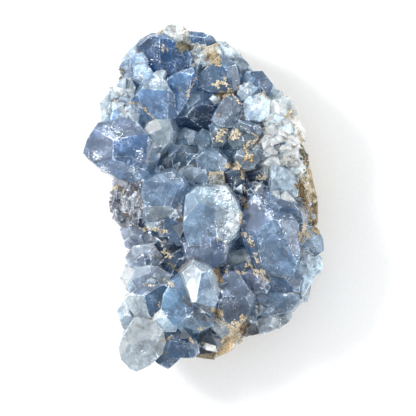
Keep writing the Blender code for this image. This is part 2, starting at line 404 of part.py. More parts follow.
def clear_scene():
    """Remove what the file opens with."""
    for item in list(bpy.data.objects):
        bpy.data.objects.remove(item, do_unlink=True)


def new_collection(name):
    """Return a new collection linked to the scene."""
    collection = bpy.data.collections.new(name)
    bpy.context.scene.collection.children.link(collection)
    return collection


def new_material(name, colour, roughness):
    """Return a Principled material."""
    material = bpy.data.materials.new(name)
    material.use_nodes = True
    shader = material.node_tree.nodes["Principled BSDF"]
    shader.inputs["Base Color"].default_value = colour
    shader.inputs["Roughness"].default_value = roughness
    shader.inputs["Metallic"].default_value = 0.0
    material.diffuse_color = colour
    return material


def new_object(name, bm, collection):
    """Turn the bmesh, in millimetres, into an object in metres."""
    bmesh.ops.recalc_face_normals(bm, faces=bm.faces)
    bmesh.ops.scale(bm, vec=(MM, MM, MM), verts=bm.verts)
    mesh = bpy.data.meshes.new(name)
    bm.to_mesh(mesh)
    bm.free()
    item = bpy.data.objects.new(name, mesh)
    collection.objects.link(item)
    return item


def keep_inside(bm, point, normal):
    """Cut the convex solid by a plane, and close the cut with one flat face."""
    geometry = bm.verts[:] + bm.edges[:] + bm.faces[:]
    cut = bmesh.ops.bisect_plane(
        bm, geom=geometry, dist=0.0005, plane_co=point, plane_no=normal, clear_outer=True)
    rim = [item for item in cut["geom_cut"] if isinstance(item, bmesh.types.BMEdge)]
    if len(rim) > 2:
        bmesh.ops.contextual_create(bm, geom=rim)


def block(centre, side):
    """Return a cube to be cut."""
    bm = bmesh.new()
    bmesh.ops.create_cube(bm, size=side, matrix=Matrix.Translation(centre))
    return bm


def downhill_normal(direction, slope):
    """Normal of a facet that falls towards the direction."""
    turn = math.radians(direction)
    tilt = math.radians(slope)
    return Vector((math.sin(tilt) * math.cos(turn), math.sin(tilt) * math.sin(turn), math.cos(tilt)))


def crystal_planes(outline, peak, facets, lean):
    """Planes of a large crystal: sides through its plan outline, and flat facets on top."""
    top = Vector(peak)
    middle = sum((Vector(point) for point in outline), Vector((0.0, 0.0))) / len(outline)
    away = middle.normalized()
    planes = []
    for start, end in zip(outline, outline[1:] + outline[:1]):
        along = Vector((end[0] - start[0], end[1] - start[1])).normalized()
        outward = Vector((along.y, -along.x))
        if outward.dot(Vector(start) - middle) < 0.0:
            outward.negate()
        at_rim = lean <= RIM_LEAN
        spread = OVERLAP
        tilt = math.radians(lean + SIDE_LEAN)
        if at_rim:
            spread = 0.0 if outward.dot(away) > 0.3 else OVERLAP
            tilt = math.radians(lean)
        normal = Vector((outward.x * math.cos(tilt), outward.y * math.cos(tilt), math.sin(tilt)))
        side = Vector((start[0] + outward.x * spread, start[1] + outward.y * spread, top.z - SHOULDER))
        planes.append((side, normal))
    first = [downhill_normal(direction, slope) for direction, slope, begin in facets if begin == 0]
    for direction, slope, begin in facets:
        turn = math.radians(direction)
        step = Vector((math.cos(turn) * begin, math.sin(turn) * begin, 0.0))
        step.z = min(-(normal.x * step.x + normal.y * step.y) / normal.z for normal in first)
        planes.append((top + step, downhill_normal(direction, slope)))
    return planes


def plane_height(planes, x, y):
    """Height of the convex solid's top over a place, far down where the place is outside it."""
    return min(
        point.z - (normal.x * (x - point.x) + normal.y * (y - point.y)) / normal.z
        for point, normal in planes)


def cut_crystal(outline, peak, planes):
    """A large crystal: a block cut by its planes, and undercut where it stands at the rim."""
    top = Vector(peak)
    bm = block((top.x, top.y, top.z - 30.0), 62.0)
    for point, normal in planes:
        keep_inside(bm, point, normal)
    keep_inside(bm, (0.0, 0.0, SKIRT_HEIGHT), (0.0, 0.0, -1.0))
    away = sum((Vector(point) for point in outline), Vector((0.0, 0.0))).normalized()
    reach = max(Vector(point).dot(away) for point in outline)
    if reach > plan_reach(CRUST_RIM, math.atan2(away.y, away.x)) - RIM_BAND:
        foot = Vector((away.x * reach, away.y * reach, top.z - RIM_DEPTH))
        slant = math.radians(RIM_UNDERCUT)
        keep_inside(bm, foot, Vector((away.x * math.sin(slant), away.y * math.sin(slant), -math.cos(slant))))
    return bm


def small_crystal(place, axis, spin, size, chance):
    """A druse crystal: a rhombic prism along its axis with a chisel end."""
    bm = block((0.0, 0.0, 0.0), size * 2.4)
    half_angle = math.radians(38.0)
    for sign_x in (-1.0, 1.0):
        for sign_y in (-1.0, 1.0):
            normal = Vector((sign_x * math.cos(half_angle), sign_y * math.sin(half_angle), 0.0))
            keep_inside(bm, normal * size * chance.uniform(0.36, 0.5), normal)
    for sign in (-1.0, 1.0):
        slope = math.radians(chance.uniform(24.0, 44.0))
        normal = Vector((0.0, sign * math.sin(slope), math.cos(slope)))
        keep_inside(bm, (0.0, 0.0, size * chance.uniform(0.85, 1.0)), normal)
    turn = Matrix.Rotation(spin, 4, "Z")
    upright = Vector((0.0, 0.0, 1.0)).rotation_difference(axis).to_matrix().to_4x4()
    bmesh.ops.transform(bm, matrix=Matrix.Translation(place) @ upright @ turn, verts=bm.verts)
    return bm


def plan_reach(rim, angle):
    """Distance from the middle to the plan outline in a direction."""
    ray = Vector((math.cos(angle), math.sin(angle)))
    best = 0.0
    for start, end in zip(rim, rim[1:] + rim[:1]):
        first = Vector(start)
        side = Vector(end) - first
        turn = ray.x * side.y - ray.y * side.x
        if abs(turn) < 1e-9:
            continue
        along = (first.x * side.y - first.y * side.x) / turn
        share = (first.x * ray.y - first.y * ray.x) / turn
        if -1e-6 <= share <= 1.0 + 1e-6 and along > best:
            best = along
    return best


def lumps(x, y, z, size):
    """Smooth, fixed unevenness between -1 and 1, with features of about the given size."""
    scale = 2.0 * math.pi / size
    first = math.sin(x * scale + 1.3 * math.sin(y * scale * 0.71 + 0.4))
    second = math.sin(y * scale * 1.13 + 1.1 * math.sin(z * scale * 0.83 + 2.1) + 0.9)
    third = math.sin(z * scale * 0.94 + 1.2 * math.sin(x * scale * 1.27 + 4.0) + 2.2)
    return (first + second + third) / 3.0


def crust_height(x, y, share):
    """Top of the crust: high in the middle, lower at the rim, with a hollow and lumps."""
    height = CRUST_HEIGHT - (CRUST_HEIGHT - CRUST_RIM_HEIGHT) * share ** 3.2
    far = ((x - HOLLOW_CENTRE[0]) ** 2 + (y - HOLLOW_CENTRE[1]) ** 2) / HOLLOW_RADIUS ** 2
    height -= HOLLOW_DEPTH * math.exp(-far)
    return height + 0.8 * lumps(x, y, 0.0, 9.0)


def crust_body():
    """The crust that the crystals grow from: a flattened sphere over the rock."""
    bm = bmesh.new()
    bmesh.ops.create_uvsphere(bm, u_segments=26, v_segments=10, radius=1.0)
    for vertex in bm.verts:
        angle = math.atan2(vertex.co.y, vertex.co.x)
        share = min(1.0, math.hypot(vertex.co.x, vertex.co.y))
        reach = plan_reach(CRUST_RIM, angle) * share
        x, y = reach * math.cos(angle), reach * math.sin(angle)
        if vertex.co.z > -0.05:
            height = crust_height(x, y, share)
        else:
            height = SKIRT_HEIGHT + (CRUST_RIM_HEIGHT - SKIRT_HEIGHT) * share ** 6
        vertex.co = (x, y, height)
    return bm


def rock_body(grow):
    """The host rock: broad lumps, a rounded belly, a low top under the crust, and flat breaks."""
    bm = bmesh.new()
    bmesh.ops.create_uvsphere(bm, u_segments=28, v_segments=12, radius=1.0)
    for vertex in bm.verts:
        angle = math.atan2(vertex.co.y, vertex.co.x)
        share = min(1.0, math.hypot(vertex.co.x, vertex.co.y))
        level = vertex.co.z
        reach = plan_reach(ROCK_RIM, angle)
        bump = lumps(reach * math.cos(angle), reach * math.sin(angle), 14.0 * level, 13.0)
        radius = reach * math.sqrt(share) * (1.0 + 0.035 * bump) + grow
        x, y = radius * math.cos(angle), radius * math.sin(angle)
        if level >= 0.0:
            height = ROCK_WAIST + (ROCK_TOP - ROCK_WAIST) * level ** 0.8 + grow
        else:
            height = ROCK_WAIST - ROCK_BELLY * (-level) ** 0.95 - grow
        vertex.co = (x, y, height + 0.7 * lumps(x, y, 3.0, 11.0))
    for direction, below, depth in ROCK_BREAKS:
        turn = math.radians(direction)
        dip = math.radians(below)
        outward = Vector((math.cos(turn) * math.cos(dip), math.sin(turn) * math.cos(dip), -math.sin(dip)))
        reach = max(vertex.co.dot(outward) for vertex in bm.verts)
        cut_flat(bm, outward * (reach - depth), outward)
    return bm


def cut_flat(bm, point, normal):
    """Break a lump off along a plane."""
    geometry = bm.verts[:] + bm.edges[:] + bm.faces[:]
    cut = bmesh.ops.bisect_plane(
        bm, geom=geometry, dist=0.0005, plane_co=point, plane_no=normal, clear_outer=True)
    rim = [item for item in cut["geom_cut"] if isinstance(item, bmesh.types.BMEdge)]
    bmesh.ops.edgenet_fill(bm, edges=rim)


def build_rock(collection, material):
    """The host rock with its flat spot."""
    bm = rock_body(0.0)
    cut_flat(bm, (0.0, 0.0, 0.0), (0.0, 0.0, -1.0))
    rock = new_object("host_rock", bm, collection)
    rock.data.materials.append(material)
    return rock


def surface_height(solids, x, y):
    """Height of the crust or of the highest crystal over a place."""
    angle = math.atan2(y, x)
    share = math.hypot(x, y) / plan_reach(CRUST_RIM, angle)
    ground = crust_height(x, y, min(share, 1.0)) if share < 1.0 else SKIRT_HEIGHT
    return max([ground] + [plane_height(planes, x, y) for planes in solids])


def wandering(axis, chance, amount):
    """The direction, turned a little at random."""
    change = Vector((chance.uniform(-1, 1), chance.uniform(-1, 1), chance.uniform(-0.4, 0.4)))
    return (axis + change * amount).normalized()


def margin_places(solids, chance):
    """Places, directions and sizes of the crystals that crowd the sugary margins."""
    places = []
    for middle, half, count, sizes in SUGARY_MARGINS:
        for _ in range(count):
            turn = chance.uniform(0.0, 2.0 * math.pi)
            far = math.sqrt(chance.uniform(0.0, 1.0))
            x = middle[0] + half[0] * far * math.cos(turn)
            y = middle[1] + half[1] * far * math.sin(turn)
            outward = Vector((x, y, 0.0)).normalized()
            axis = wandering(Vector((0.0, 0.0, 1.0)) + outward * 0.35, chance, 0.4)
            height = surface_height(solids, x, y)
            size = chance.uniform(*sizes)
            if height > LOWEST_PLACE:
                places.append((Vector((x, y, height)), axis, size))
    return places


def crevice_places(solids, chance):
    """Places, directions and sizes of the crystals in the low places between the larger ones."""
    places = []
    while len(places) < CREVICE_COUNT:
        angle = chance.uniform(0.0, 2.0 * math.pi)
        far = plan_reach(CRUST_RIM, angle) * math.sqrt(chance.uniform(0.0, 0.94))
        x, y = far * math.cos(angle), far * math.sin(angle)
        height = surface_height(solids, x, y)
        around = [
            surface_height(solids, x + 2.6 * math.cos(step), y + 2.6 * math.sin(step))
            for step in (0.3, 1.35, 2.4, 3.45, 4.5, 5.55)]
        if height < LOWEST_PLACE or height > sum(around) / len(around) - CREVICE_DEPTH:
            continue
        axis = wandering(Vector((0.0, 0.0, 1.0)), chance, 0.45)
        places.append((Vector((x, y, height)), axis, chance.uniform(*CREVICE_SIZE)))
    return places


def side_places(chance):
    """Places, directions and sizes of the crystals that point outwards around the crust's side."""
    places = []
    for number in range(SIDE_COUNT):
        angle = 2.0 * math.pi * (number + chance.uniform(0.0, 0.9)) / SIDE_COUNT
        reach = plan_reach(CRUST_RIM, angle) - chance.uniform(0.4, 1.6)
        height = chance.uniform(SKIRT_HEIGHT + 2.4, CRUST_RIM_HEIGHT + 4.0)
        place = Vector((reach * math.cos(angle), reach * math.sin(angle), height))
        lift = (height - SKIRT_HEIGHT) / 14.0
        axis = Vector((math.cos(angle), math.sin(angle), lift))
        places.append((place, wandering(axis, chance, 0.35), chance.uniform(*SIDE_SIZE)))
    return places


def build_druse(collection, cutters, material):
    """The crust with every crystal grown from it, joined in one solid and seated on the rock."""
    druse = new_object("crystal_druse", crust_body(), collection)
    druse.data.materials.append(material)
    grown = bpy.data.collections.new("grown_crystals")
    cutters.children.link(grown)
    solids = []
    for name, (outline, peak, facets, lean) in CRYSTALS.items():
        planes = crystal_planes(outline, peak, facets, lean)
        solids.append(planes)
        new_object("crystal_" + name, cut_crystal(outline, peak, planes), grown)
    chance = random.Random(SMALL_SEED)
    places = margin_places(solids, chance) + crevice_places(solids, chance) + side_places(chance)
    for number, (place, axis, size) in enumerate(places):
        spin = chance.uniform(0.0, 2.0 * math.pi)
        sunk = place - axis * size * SMALL_SINK
        new_object(f"small_{number:03d}", small_crystal(sunk, axis, spin, size, chance), grown)
    rock_space = new_object("rock_space", rock_body(ROCK_GAP), cutters)
    for item in list(grown.objects) + [rock_space]:
        item.hide_render = True
        item.display_type = "WIRE"
    join = druse.modifiers.new("grown together", "BOOLEAN")
    join.operation = "UNION"
    join.operand_type = "COLLECTION"
    join.collection = grown
    join.solver = "EXACT"
    seat = druse.modifiers.new("seat on the rock", "BOOLEAN")
    seat.operation = "DIFFERENCE"
    seat.object = rock_space
    seat.solver = "EXACT"
    fill_pockets(druse)
    return druse


def fill_pockets(item):
    """Apply the joins, and keep only the outer skin: air sealed in between crystals is filled."""
    graph = bpy.context.evaluated_depsgraph_get()
    joined = bpy.data.meshes.new_from_object(item.evaluated_get(graph))
    bm = bmesh.new()
    bm.from_mesh(joined)
    skins = []
    waiting = set(bm.faces)
    while waiting:
        skin = [waiting.pop()]
        for face in skin:
            for edge in face.edges:
                for neighbour in edge.link_faces:
                    if neighbour in waiting:
                        waiting.remove(neighbour)
                        skin.append(neighbour)
        skins.append(skin)
    outer = max(skins, key=len)
    pockets = [face for skin in skins if skin is not outer for face in skin]
    bmesh.ops.delete(bm, geom=pockets, context="FACES")
    bm.to_mesh(item.data)
    bm.free()
    item.modifiers.clear()


def put_on_origin(pieces):
    """Move the specimen so that the middle of its box is over the origin and its foot at zero."""
    corners = [vertex.co for item in pieces for vertex in item.data.vertices]
    low = Vector([min(corner[axis] for corner in corners) for axis in range(3)])
    high = Vector([max(corner[axis] for corner in corners) for axis in range(3)])
    shift = Vector((-(low.x + high.x) / 2.0, -(low.y + high.y) / 2.0, -low.z))
    for item in pieces:
        item.data.transform(Matrix.Translation(shift))


def main():
    clear_scene()
    parts = new_collection("celestite_cluster")
    cutters = new_collection("cutters")
    celestite = new_material("celestite", CELESTITE_BLUE, 0.12)
    rock = new_material("host_rock", HOST_ROCK_TAN, 0.9)
    pieces = [build_rock(parts, rock), build_druse(parts, cutters, celestite)]
    put_on_origin(pieces)


main()
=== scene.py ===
import math

import bmesh
import bpy
import numpy as np
from mathutils import Matrix, Vector


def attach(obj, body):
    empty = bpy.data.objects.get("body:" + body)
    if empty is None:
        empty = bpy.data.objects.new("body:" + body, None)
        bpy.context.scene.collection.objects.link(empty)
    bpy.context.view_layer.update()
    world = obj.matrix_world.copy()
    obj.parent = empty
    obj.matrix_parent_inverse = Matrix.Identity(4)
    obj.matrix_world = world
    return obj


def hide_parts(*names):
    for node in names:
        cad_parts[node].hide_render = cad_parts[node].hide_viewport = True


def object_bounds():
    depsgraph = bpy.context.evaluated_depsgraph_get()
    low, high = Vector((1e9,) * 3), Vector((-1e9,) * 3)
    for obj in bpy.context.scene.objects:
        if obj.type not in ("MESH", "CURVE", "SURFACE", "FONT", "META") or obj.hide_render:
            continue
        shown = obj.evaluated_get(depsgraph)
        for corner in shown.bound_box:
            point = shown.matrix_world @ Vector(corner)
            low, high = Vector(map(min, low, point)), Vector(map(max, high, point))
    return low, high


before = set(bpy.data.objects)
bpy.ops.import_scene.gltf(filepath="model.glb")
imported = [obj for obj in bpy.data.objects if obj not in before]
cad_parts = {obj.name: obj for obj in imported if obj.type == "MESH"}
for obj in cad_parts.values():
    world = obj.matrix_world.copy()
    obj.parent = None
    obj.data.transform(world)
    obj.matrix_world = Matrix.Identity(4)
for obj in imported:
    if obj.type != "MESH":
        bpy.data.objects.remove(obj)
cad_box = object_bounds()

MM = 0.001
chance = np.random.default_rng(1806)

# The tables' places in mm are measured from the photograph's own middle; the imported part's
# origin lies this far from it
SHIFT = np.array((0.311, 0.003, 0.0))

# Tints of the larger crystals, chosen one by one. Each has its top point in mm, the tint on its
# near side and its far side, the direction from near to far (degrees from +X), and its clarity.
CRYSTAL_TINTS = {
    "deep_blue": (-12.8, 42.0, 33.5, "#00447f", "#4f89c0", 20, "clear"),
    "upper_block": (-13.0, 30.4, 36.0, "#7298c6", "#a3c0df", 110, "clear"),
    "upper_slope": (-4.6, 34.4, 35.0, "#5580b0", "#7ea3c9", 60, "clear"),
    "white_cap": (-8.4, 46.0, 30.0, "#a5abae", "#c8c8c4", 60, "frosted"),
    "rim_upper_left": (-16.6, 44.8, 27.5, "#8fa6bd", "#b3c4d4", 90, "milky"),
    "rim_left_top": (-20.6, 40.2, 28.5, "#93aac2", "#b9c8d8", 120, "milky"),
    "pale_blue_chip": (-18.2, 39.6, 31.5, "#8fadcf", "#b4c9e0", 60, "milky"),
    "streaky": (-16.9, 36.6, 33.0, "#8fafd2", "#bcd0e4", 150, "milky"),
    "grey_slab": (-21.6, 36.2, 29.0, "#97a9c0", "#b4c2d2", 150, "milky"),
    "left_rough_high": (-22.6, 31.6, 29.5, "#cdd3da", "#e6e9ec", 120, "frosted"),
    "left_rough_mid": (-24.2, 28.6, 28.0, "#cdd3da", "#e6e9ec", 160, "frosted"),
    "left_rough_low": (-26.8, 26.4, 26.5, "#cdd3da", "#e6e9ec", 160, "frosted"),
    "pale_sky": (-20.4, 25.6, 31.5, "#8eb2da", "#b3cbe4", 150, "milky"),
    "pale_corner": (-27.8, 23.4, 26.5, "#b5c8dc", "#d8e2ea", 180, "milky"),
    "grey_window": (-12.3, 19.3, 35.8, "#9fb5c8", "#b9c9d6", 260, "clear"),
    "long_left": (-21.8, 16.6, 36.5, "#5f88bd", "#93a9c8", 130, "clear"),
    "top_blue": (-0.6, 45.6, 29.5, "#36699d", "#5d87b3", 60, "clear"),
    "granular_top": (-1.8, 41.2, 31.0, "#b9c5cf", "#dde2e4", 60, "frosted"),
    "tan_bearer_top": (2.2, 41.2, 31.8, "#b3bfc9", "#c9cdcd", 60, "frosted"),
    "icy_upper": (6.4, 42.0, 30.0, "#b9d0e2", "#dbe7f0", 40, "milky"),
    "upper_rim_slate": (10.2, 37.4, 29.5, "#7792ae", "#9db4cb", 40, "milky"),
    "slate_blue": (4.4, 37.4, 34.5, "#496f9b", "#6e92b8", 90, "clear"),
    "dark_rim": (14.6, 33.6, 31.0, "#5d8bbd", "#93b2d2", 60, "clear"),
    "pale_facet_block": (12.6, 31.0, 32.5, "#8ba6c4", "#b9cbdc", 200, "milky"),
    "grey_ice": (20.0, 29.6, 27.0, "#a4b8cb", "#c9d6e0", 40, "milky"),
    "white_upper": (14.8, 26.8, 32.0, "#9cb6d2", "#cddbe9", 20, "frosted"),
    "white_far": (21.4, 24.8, 29.5, "#e6ebf0", "#f6f7f6", 20, "frosted"),
    "white_lower": (22.0, 18.0, 30.0, "#eceff2", "#f9f9f8", 20, "frosted"),
    "grey_right": (24.4, 10.6, 28.0, "#c1cad3", "#dadfe2", 0, "frosted"),
    "hollow_upper": (-3.2, 25.6, 31.0, "#004678", "#5f83a8", 100, "clear"),
    "hollow_fleck": (2.6, 28.2, 31.6, "#6f8aa9", "#e9ecec", 90, "milky"),
    "hollow_right": (7.8, 26.8, 33.0, "#7e8fa9", "#5d7897", 320, "clear"),
    "curved_slate": (12.8, 20.4, 31.5, "#5e7894", "#7f95ab", 140, "clear"),
    "tan_bearer_left": (4.8, 18.0, 29.0, "#6f8598", "#8c9ba4", 90, "clear"),
    "tan_bearer_right": (10.4, 17.6, 30.0, "#6e8497", "#8a9ba8", 90, "clear"),
    "violet_grey": (16.4, 13.2, 30.0, "#8494ab", "#a9b5c4", 40, "clear"),
    "round_grey": (12.0, 11.2, 31.5, "#7388a0", "#95a5b4", 40, "clear"),
    "dark_mid": (-12.0, 10.4, 29.0, "#4c6479", "#6b8196", 60, "clear"),
    "rubble_a": (-5.8, 17.8, 27.5, "#7596b4", "#96adc3", 60, "clear"),
    "rubble_b": (0.4, 16.8, 27.0, "#7898b7", "#99b1c8", 60, "clear"),
    "rubble_c": (-5.6, 13.0, 28.6, "#66839f", "#879db2", 60, "clear"),
    "pale_block": (-9.4, 3.6, 39.0, "#7d9cc0", "#98b3cf", 100, "clear"),
    "left_of_centre": (-6.4, -4.6, 36.0, "#476f9b", "#7799bd", 60, "clear"),
    "pale_tongue": (-13.0, -7.2, 32.0, "#a3bad2", "#bccbda", 150, "milky"),
    "sugary_left": (-21.4, -1.0, 27.5, "#676671", "#a9a8b2", 120, "frosted"),
    "violet_left": (-19.6, -10.8, 27.5, "#8593ad", "#a7b1c4", 150, "milky"),
    "teal_dark": (-12.6, -12.2, 30.0, "#003f6e", "#336793", 60, "clear"),
    "mid_pale": (2.4, 11.4, 33.0, "#809cbb", "#a5bbd0", 60, "clear"),
    "grey_rubble_mid": (-3.4, 6.4, 33.0, "#8da2ba", "#a9bacb", 60, "milky"),
    "rough_brown": (3.2, 5.6, 34.0, "#7d7a72", "#98948a", 60, "milky"),
    "dark_slate": (9.2, 6.8, 33.0, "#35506c", "#536d88", 60, "clear"),
    "dark_hollow_block": (15.8, 7.4, 27.5, "#1f3f62", "#45607e", 60, "clear"),
    "white_chip": (15.4, 2.6, 30.5, "#c3cedb", "#eef0f2", 150, "milky"),
    "violet_chip": (14.6, 1.6, 28.6, "#7787a4", "#98a4b8", 60, "clear"),
    "pale_right": (21.6, 6.2, 33.0, "#adc3dc", "#c8d6e4", 60, "milky"),
    "white_spot": (27.6, 2.0, 28.0, "#dfe3e6", "#eeeeea", 60, "frosted"),
    "centre": (2.6, -3.4, 41.5, "#86abd2", "#b4cce3", 80, "clear"),
    "below_centre": (2.4, -12.3, 39.0, "#6a85b0", "#8aa2c4", 60, "clear"),
    "large_right": (19.0, -6.4, 38.0, "#668dbd", "#8096bb", 110, "clear"),
    "right_slate": (22.2, -3.4, 36.5, "#46658a", "#6d84a0", 60, "clear"),
    "navy_recess": (11.6, -11.6, 30.5, "#35506e", "#4d6986", 60, "clear"),
    "right_edge_upper": (29.6, -11.6, 28.5, "#7690ab", "#9aafc3", 20, "milky"),
    "right_edge_lower": (29.4, -18.8, 27.5, "#9aafc3", "#b9c8d4", 20, "frosted"),
    "speckled": (9.6, -18.4, 33.0, "#7d8f9f", "#98a5ad", 60, "milky"),
    "violet_wedge": (13.6, -21.9, 36.0, "#7283ab", "#95a1c0", 60, "clear"),
    "tall_lower": (8.6, -28.0, 39.0, "#71899f", "#8c9cc0", 90, "clear"),
    "mass_blue": (21.0, -23.4, 32.5, "#456b95", "#6585a8", 60, "clear"),
    "mass_slate": (20.4, -27.8, 31.0, "#5b7793", "#7f97ad", 20, "milky"),
    "mass_rim": (28.0, -25.2, 27.5, "#8ba1b8", "#b0c0ce", 0, "frosted"),
    "pale_grey_low": (20.0, -34.9, 26.5, "#9aa5b5", "#b5bec9", 300, "milky"),
    "dark_low": (14.0, -36.2, 25.0, "#4b5562", "#667180", 60, "clear"),
    # the hero's near-white tint on its upper-left side, towards the softbox, is a painted
    # reflection over its mirroring facet
    "hero": (-1.6, -25.6, 42.0, "#eef2f6", "#6497d0", 335, "clear"),
    "cloudy_blue": (-6.6, -27.2, 36.5, "#5a86b6", "#8eaecd", 190, "clear"),
    "striped_pale": (-12.2, -33.8, 34.2, "#9bb4cc", "#c5d2de", 150, "milky"),
    "teal": (-16.4, -27.6, 35.0, "#3c658b", "#6d8ca9", 110, "clear"),
    "grey_violet": (-15.2, -21.3, 33.4, "#8391ac", "#b1bbcb", 150, "clear"),
    "grey_left_low": (-16.4, -15.6, 31.0, "#8a96ad", "#aab3c3", 150, "milky"),
    "rim_small_left": (-20.4, -25.0, 28.0, "#93a5b8", "#b3bfcb", 180, "milky"),
    "navy_facet": (-7.4, -17.6, 31.5, "#2d4e72", "#4b6c90", 60, "clear"),
    "pale_rim_low": (-22.0, -33.0, 28.5, "#a6b6c6", "#c6d0d9", 180, "milky"),
    "grey_rim_low": (-22.0, -36.2, 26.5, "#9caab9", "#bdc7d0", 180, "milky"),
    "lower_left": (-18.0, -42.0, 35.0, "#b9c4d0", "#d8dde4", 200, "clear"),
    "dark_wedge": (-10.6, -46.0, 24.0, "#3d5f84", "#5f80a2", 60, "clear"),
    "blue_bottom": (-7.2, -41.4, 32.5, "#365d86", "#6282a3", 90, "clear"),
    "bottom_dark": (1.4, -40.2, 28.5, "#33465b", "#586e84", 60, "clear"),
    "bottom_bar": (1.4, -42.9, 29.0, "#d8dee4", "#f0f2f4", 90, "frosted"),
    "grey_crusted": (4.8, -35.2, 31.0, "#8593a4", "#c9cdcd", 90, "milky"),
    "matrix_blade": (10.8, -36.0, 27.0, "#d6bd98", "#efdfc6", 90, "marl"),
    "bottom_rim": (0.8, -45.0, 23.5, "#857a68", "#a3967e", 60, "marl"),
}

# Facets of the largest crystals whose tint stands apart: the way each faces downhill (degrees
# from +X) and its tint. The near-white facets facing 150 or 172 degrees, towards the softbox
# (grey_window, white_chip, striped_pale and hero), are painted highlights.
FACET_TINTS = {
    "deep_blue": {292: "#145c96", 200: "#105790", 85: "#86a8cb", 20: "#6790bd"},
    "upper_block": {238: "#77a2d4", 100: "#c6d7e8", 345: "#6289ba"},
    "upper_slope": {232: "#5f98d0", 335: "#4279b4", 95: "#7c9dc2"},
    "pale_sky": {248: "#9dbde2", 60: "#8caed3", 330: "#7fa6d2", 130: "#c3d5e6"},
    "grey_window": {218: "#b4c5d8", 334: "#ccd8e6", 150: "#f8f9fb", 92: "#c8d5e2", 265: "#88a1bd"},
    "long_left": {292: "#5d8dc4", 97: "#7f90ae", 198: "#7585a4", 258: "#84abd8", 340: "#7ba3d2"},
    "slate_blue": {270: "#44709a", 212: "#557fa6", 60: "#8aa6bf", 342: "#6286a6"},
    "dark_rim": {62: "#5a85b2", 196: "#84acd4", 282: "#6a97c4", 340: "#567ea8"},
    "hollow_upper": {202: "#5785b5", 70: "#7891b0", 292: "#00305e", 262: "#003362", 20: "#2a5984"},
    "hollow_right": {214: "#a6b3c8", 338: "#4f6b8b", 80: "#6e849f", 285: "#8092ab"},
    "pale_block": {226: "#93b2d8", 318: "#7a9dc8", 98: "#9fb8d3", 262: "#ccd7e4"},
    "left_of_centre": {252: "#5079a8", 150: "#92aac3", 310: "#3a618b"},
    "centre": {240: "#94b5da", 84: "#b3c9dd", 322: "#bccddc", 172: "#a3c0e0"},
    "below_centre": {294: "#7289b5", 214: "#8c9dbd", 80: "#5f7597", 340: "#9aa9c1"},
    "large_right": {176: "#8798bb", 262: "#8aadd2", 58: "#6484ab", 345: "#839dc0", 228: "#5f86b4"},
    "right_slate": {292: "#4b6c92", 192: "#b4c3d2", 70: "#5f7896"},
    "mass_blue": {262: "#4d78a8", 80: "#446b98", 0: "#6c8eb3", 190: "#5f82ab"},
    "mass_slate": {252: "#6482a2", 85: "#57769a", 330: "#8299b1"},
    "hero": {172: "#dfe7ef", 346: "#a6c8ec", 6: "#e2ebf4", 268: "#8fb6e4", 72: "#c9dbee"},
    "cloudy_blue": {238: "#8bbbe8", 330: "#88b6e2", 100: "#88add3", 284: "#9fbfdc"},
    "teal": {300: "#35658f", 118: "#8795b3", 232: "#2c5881", 258: "#234c77"},
    "grey_violet": {262: "#8b9abb", 150: "#bccadd", 40: "#a7b3ca", 335: "#6b81a5"},
    "tall_lower": {98: "#7487a9", 262: "#5a7092", 352: "#93a3bb", 185: "#5d7090"},
    "lower_left": {96: "#e0e3e8", 262: "#ccd3dc", 346: "#f2f3f5", 186: "#e8ebef"},
    "blue_bottom": {268: "#335f8a", 72: "#2e567f", 340: "#5f85aa", 190: "#7092b3"},
    "white_chip": {150: "#f6f7f8"},
    "striped_pale": {150: "#f2f5f8"},
}

# Facets that mirror the softbox cleanly, by crystal and downhill direction. Every other facet
# that faces it is etched dull.
MIRRORS = [
    ("hero", 172), ("white_chip", 150), ("hollow_fleck", 150), ("bottom_bar", 150),
]

# Spots where a large crystal is frosted and grainy: place in mm, reach in mm, strength
FROST = [
    (5.6, 0.6, 3.4, 1.0), (8.4, -6.4, 3.0, 1.0), (7.6, -9.6, 2.4, 0.8), (0.4, 1.2, 2.0, 0.6),
    (-16.9, 36.6, 2.6, 0.7), (-18.6, 33.8, 2.4, 0.6), (-14.6, 46.0, 1.2, 0.5),
    (-13.4, 33.2, 2.0, 0.8), (-19.6, 24.6, 3.0, 0.6),
    (-31.0, 11.6, 2.2, 0.8), (-27.4, 19.0, 2.6, 0.5), (14.6, -1.4, 2.2, 0.9),
    (18.4, -4.8, 1.9, 0.9), (21.4, -6.4, 1.2, 0.5), (7.0, 41.6, 2.6, 0.7),
    (12.0, 31.4, 2.6, 0.7), (15.0, 26.6, 3.4, 0.9), (21.0, 5.4, 2.0, 0.5),
    (6.4, -13.8, 1.6, 0.7), (-0.4, 39.6, 2.2, 0.7), (-6.2, -3.0, 1.4, 0.6),
    (-11.4, -33.6, 2.0, 0.5), (-17.6, -44.6, 1.6, 0.6), (14.4, -26.4, 1.4, 0.6),
    (-21.4, -1.0, 5.0, 0.6), (29.6, -17.0, 4.0, 0.5), (20.4, -35.4, 3.0, 0.5),
    (-32.6, 9.0, 1.8, 1.0), (-28.4, 7.8, 1.6, 0.8), (-24.6, 17.4, 1.5, 0.9),
    (-20.0, 6.6, 2.0, 0.7), (-18.8, 12.0, 1.6, 0.5), (2.2, -8.2, 1.4, 0.5),
    (16.4, -13.2, 1.3, 0.6), (22.6, -10.8, 1.3, 0.5), (-9.0, 5.4, 1.2, 0.6),
]

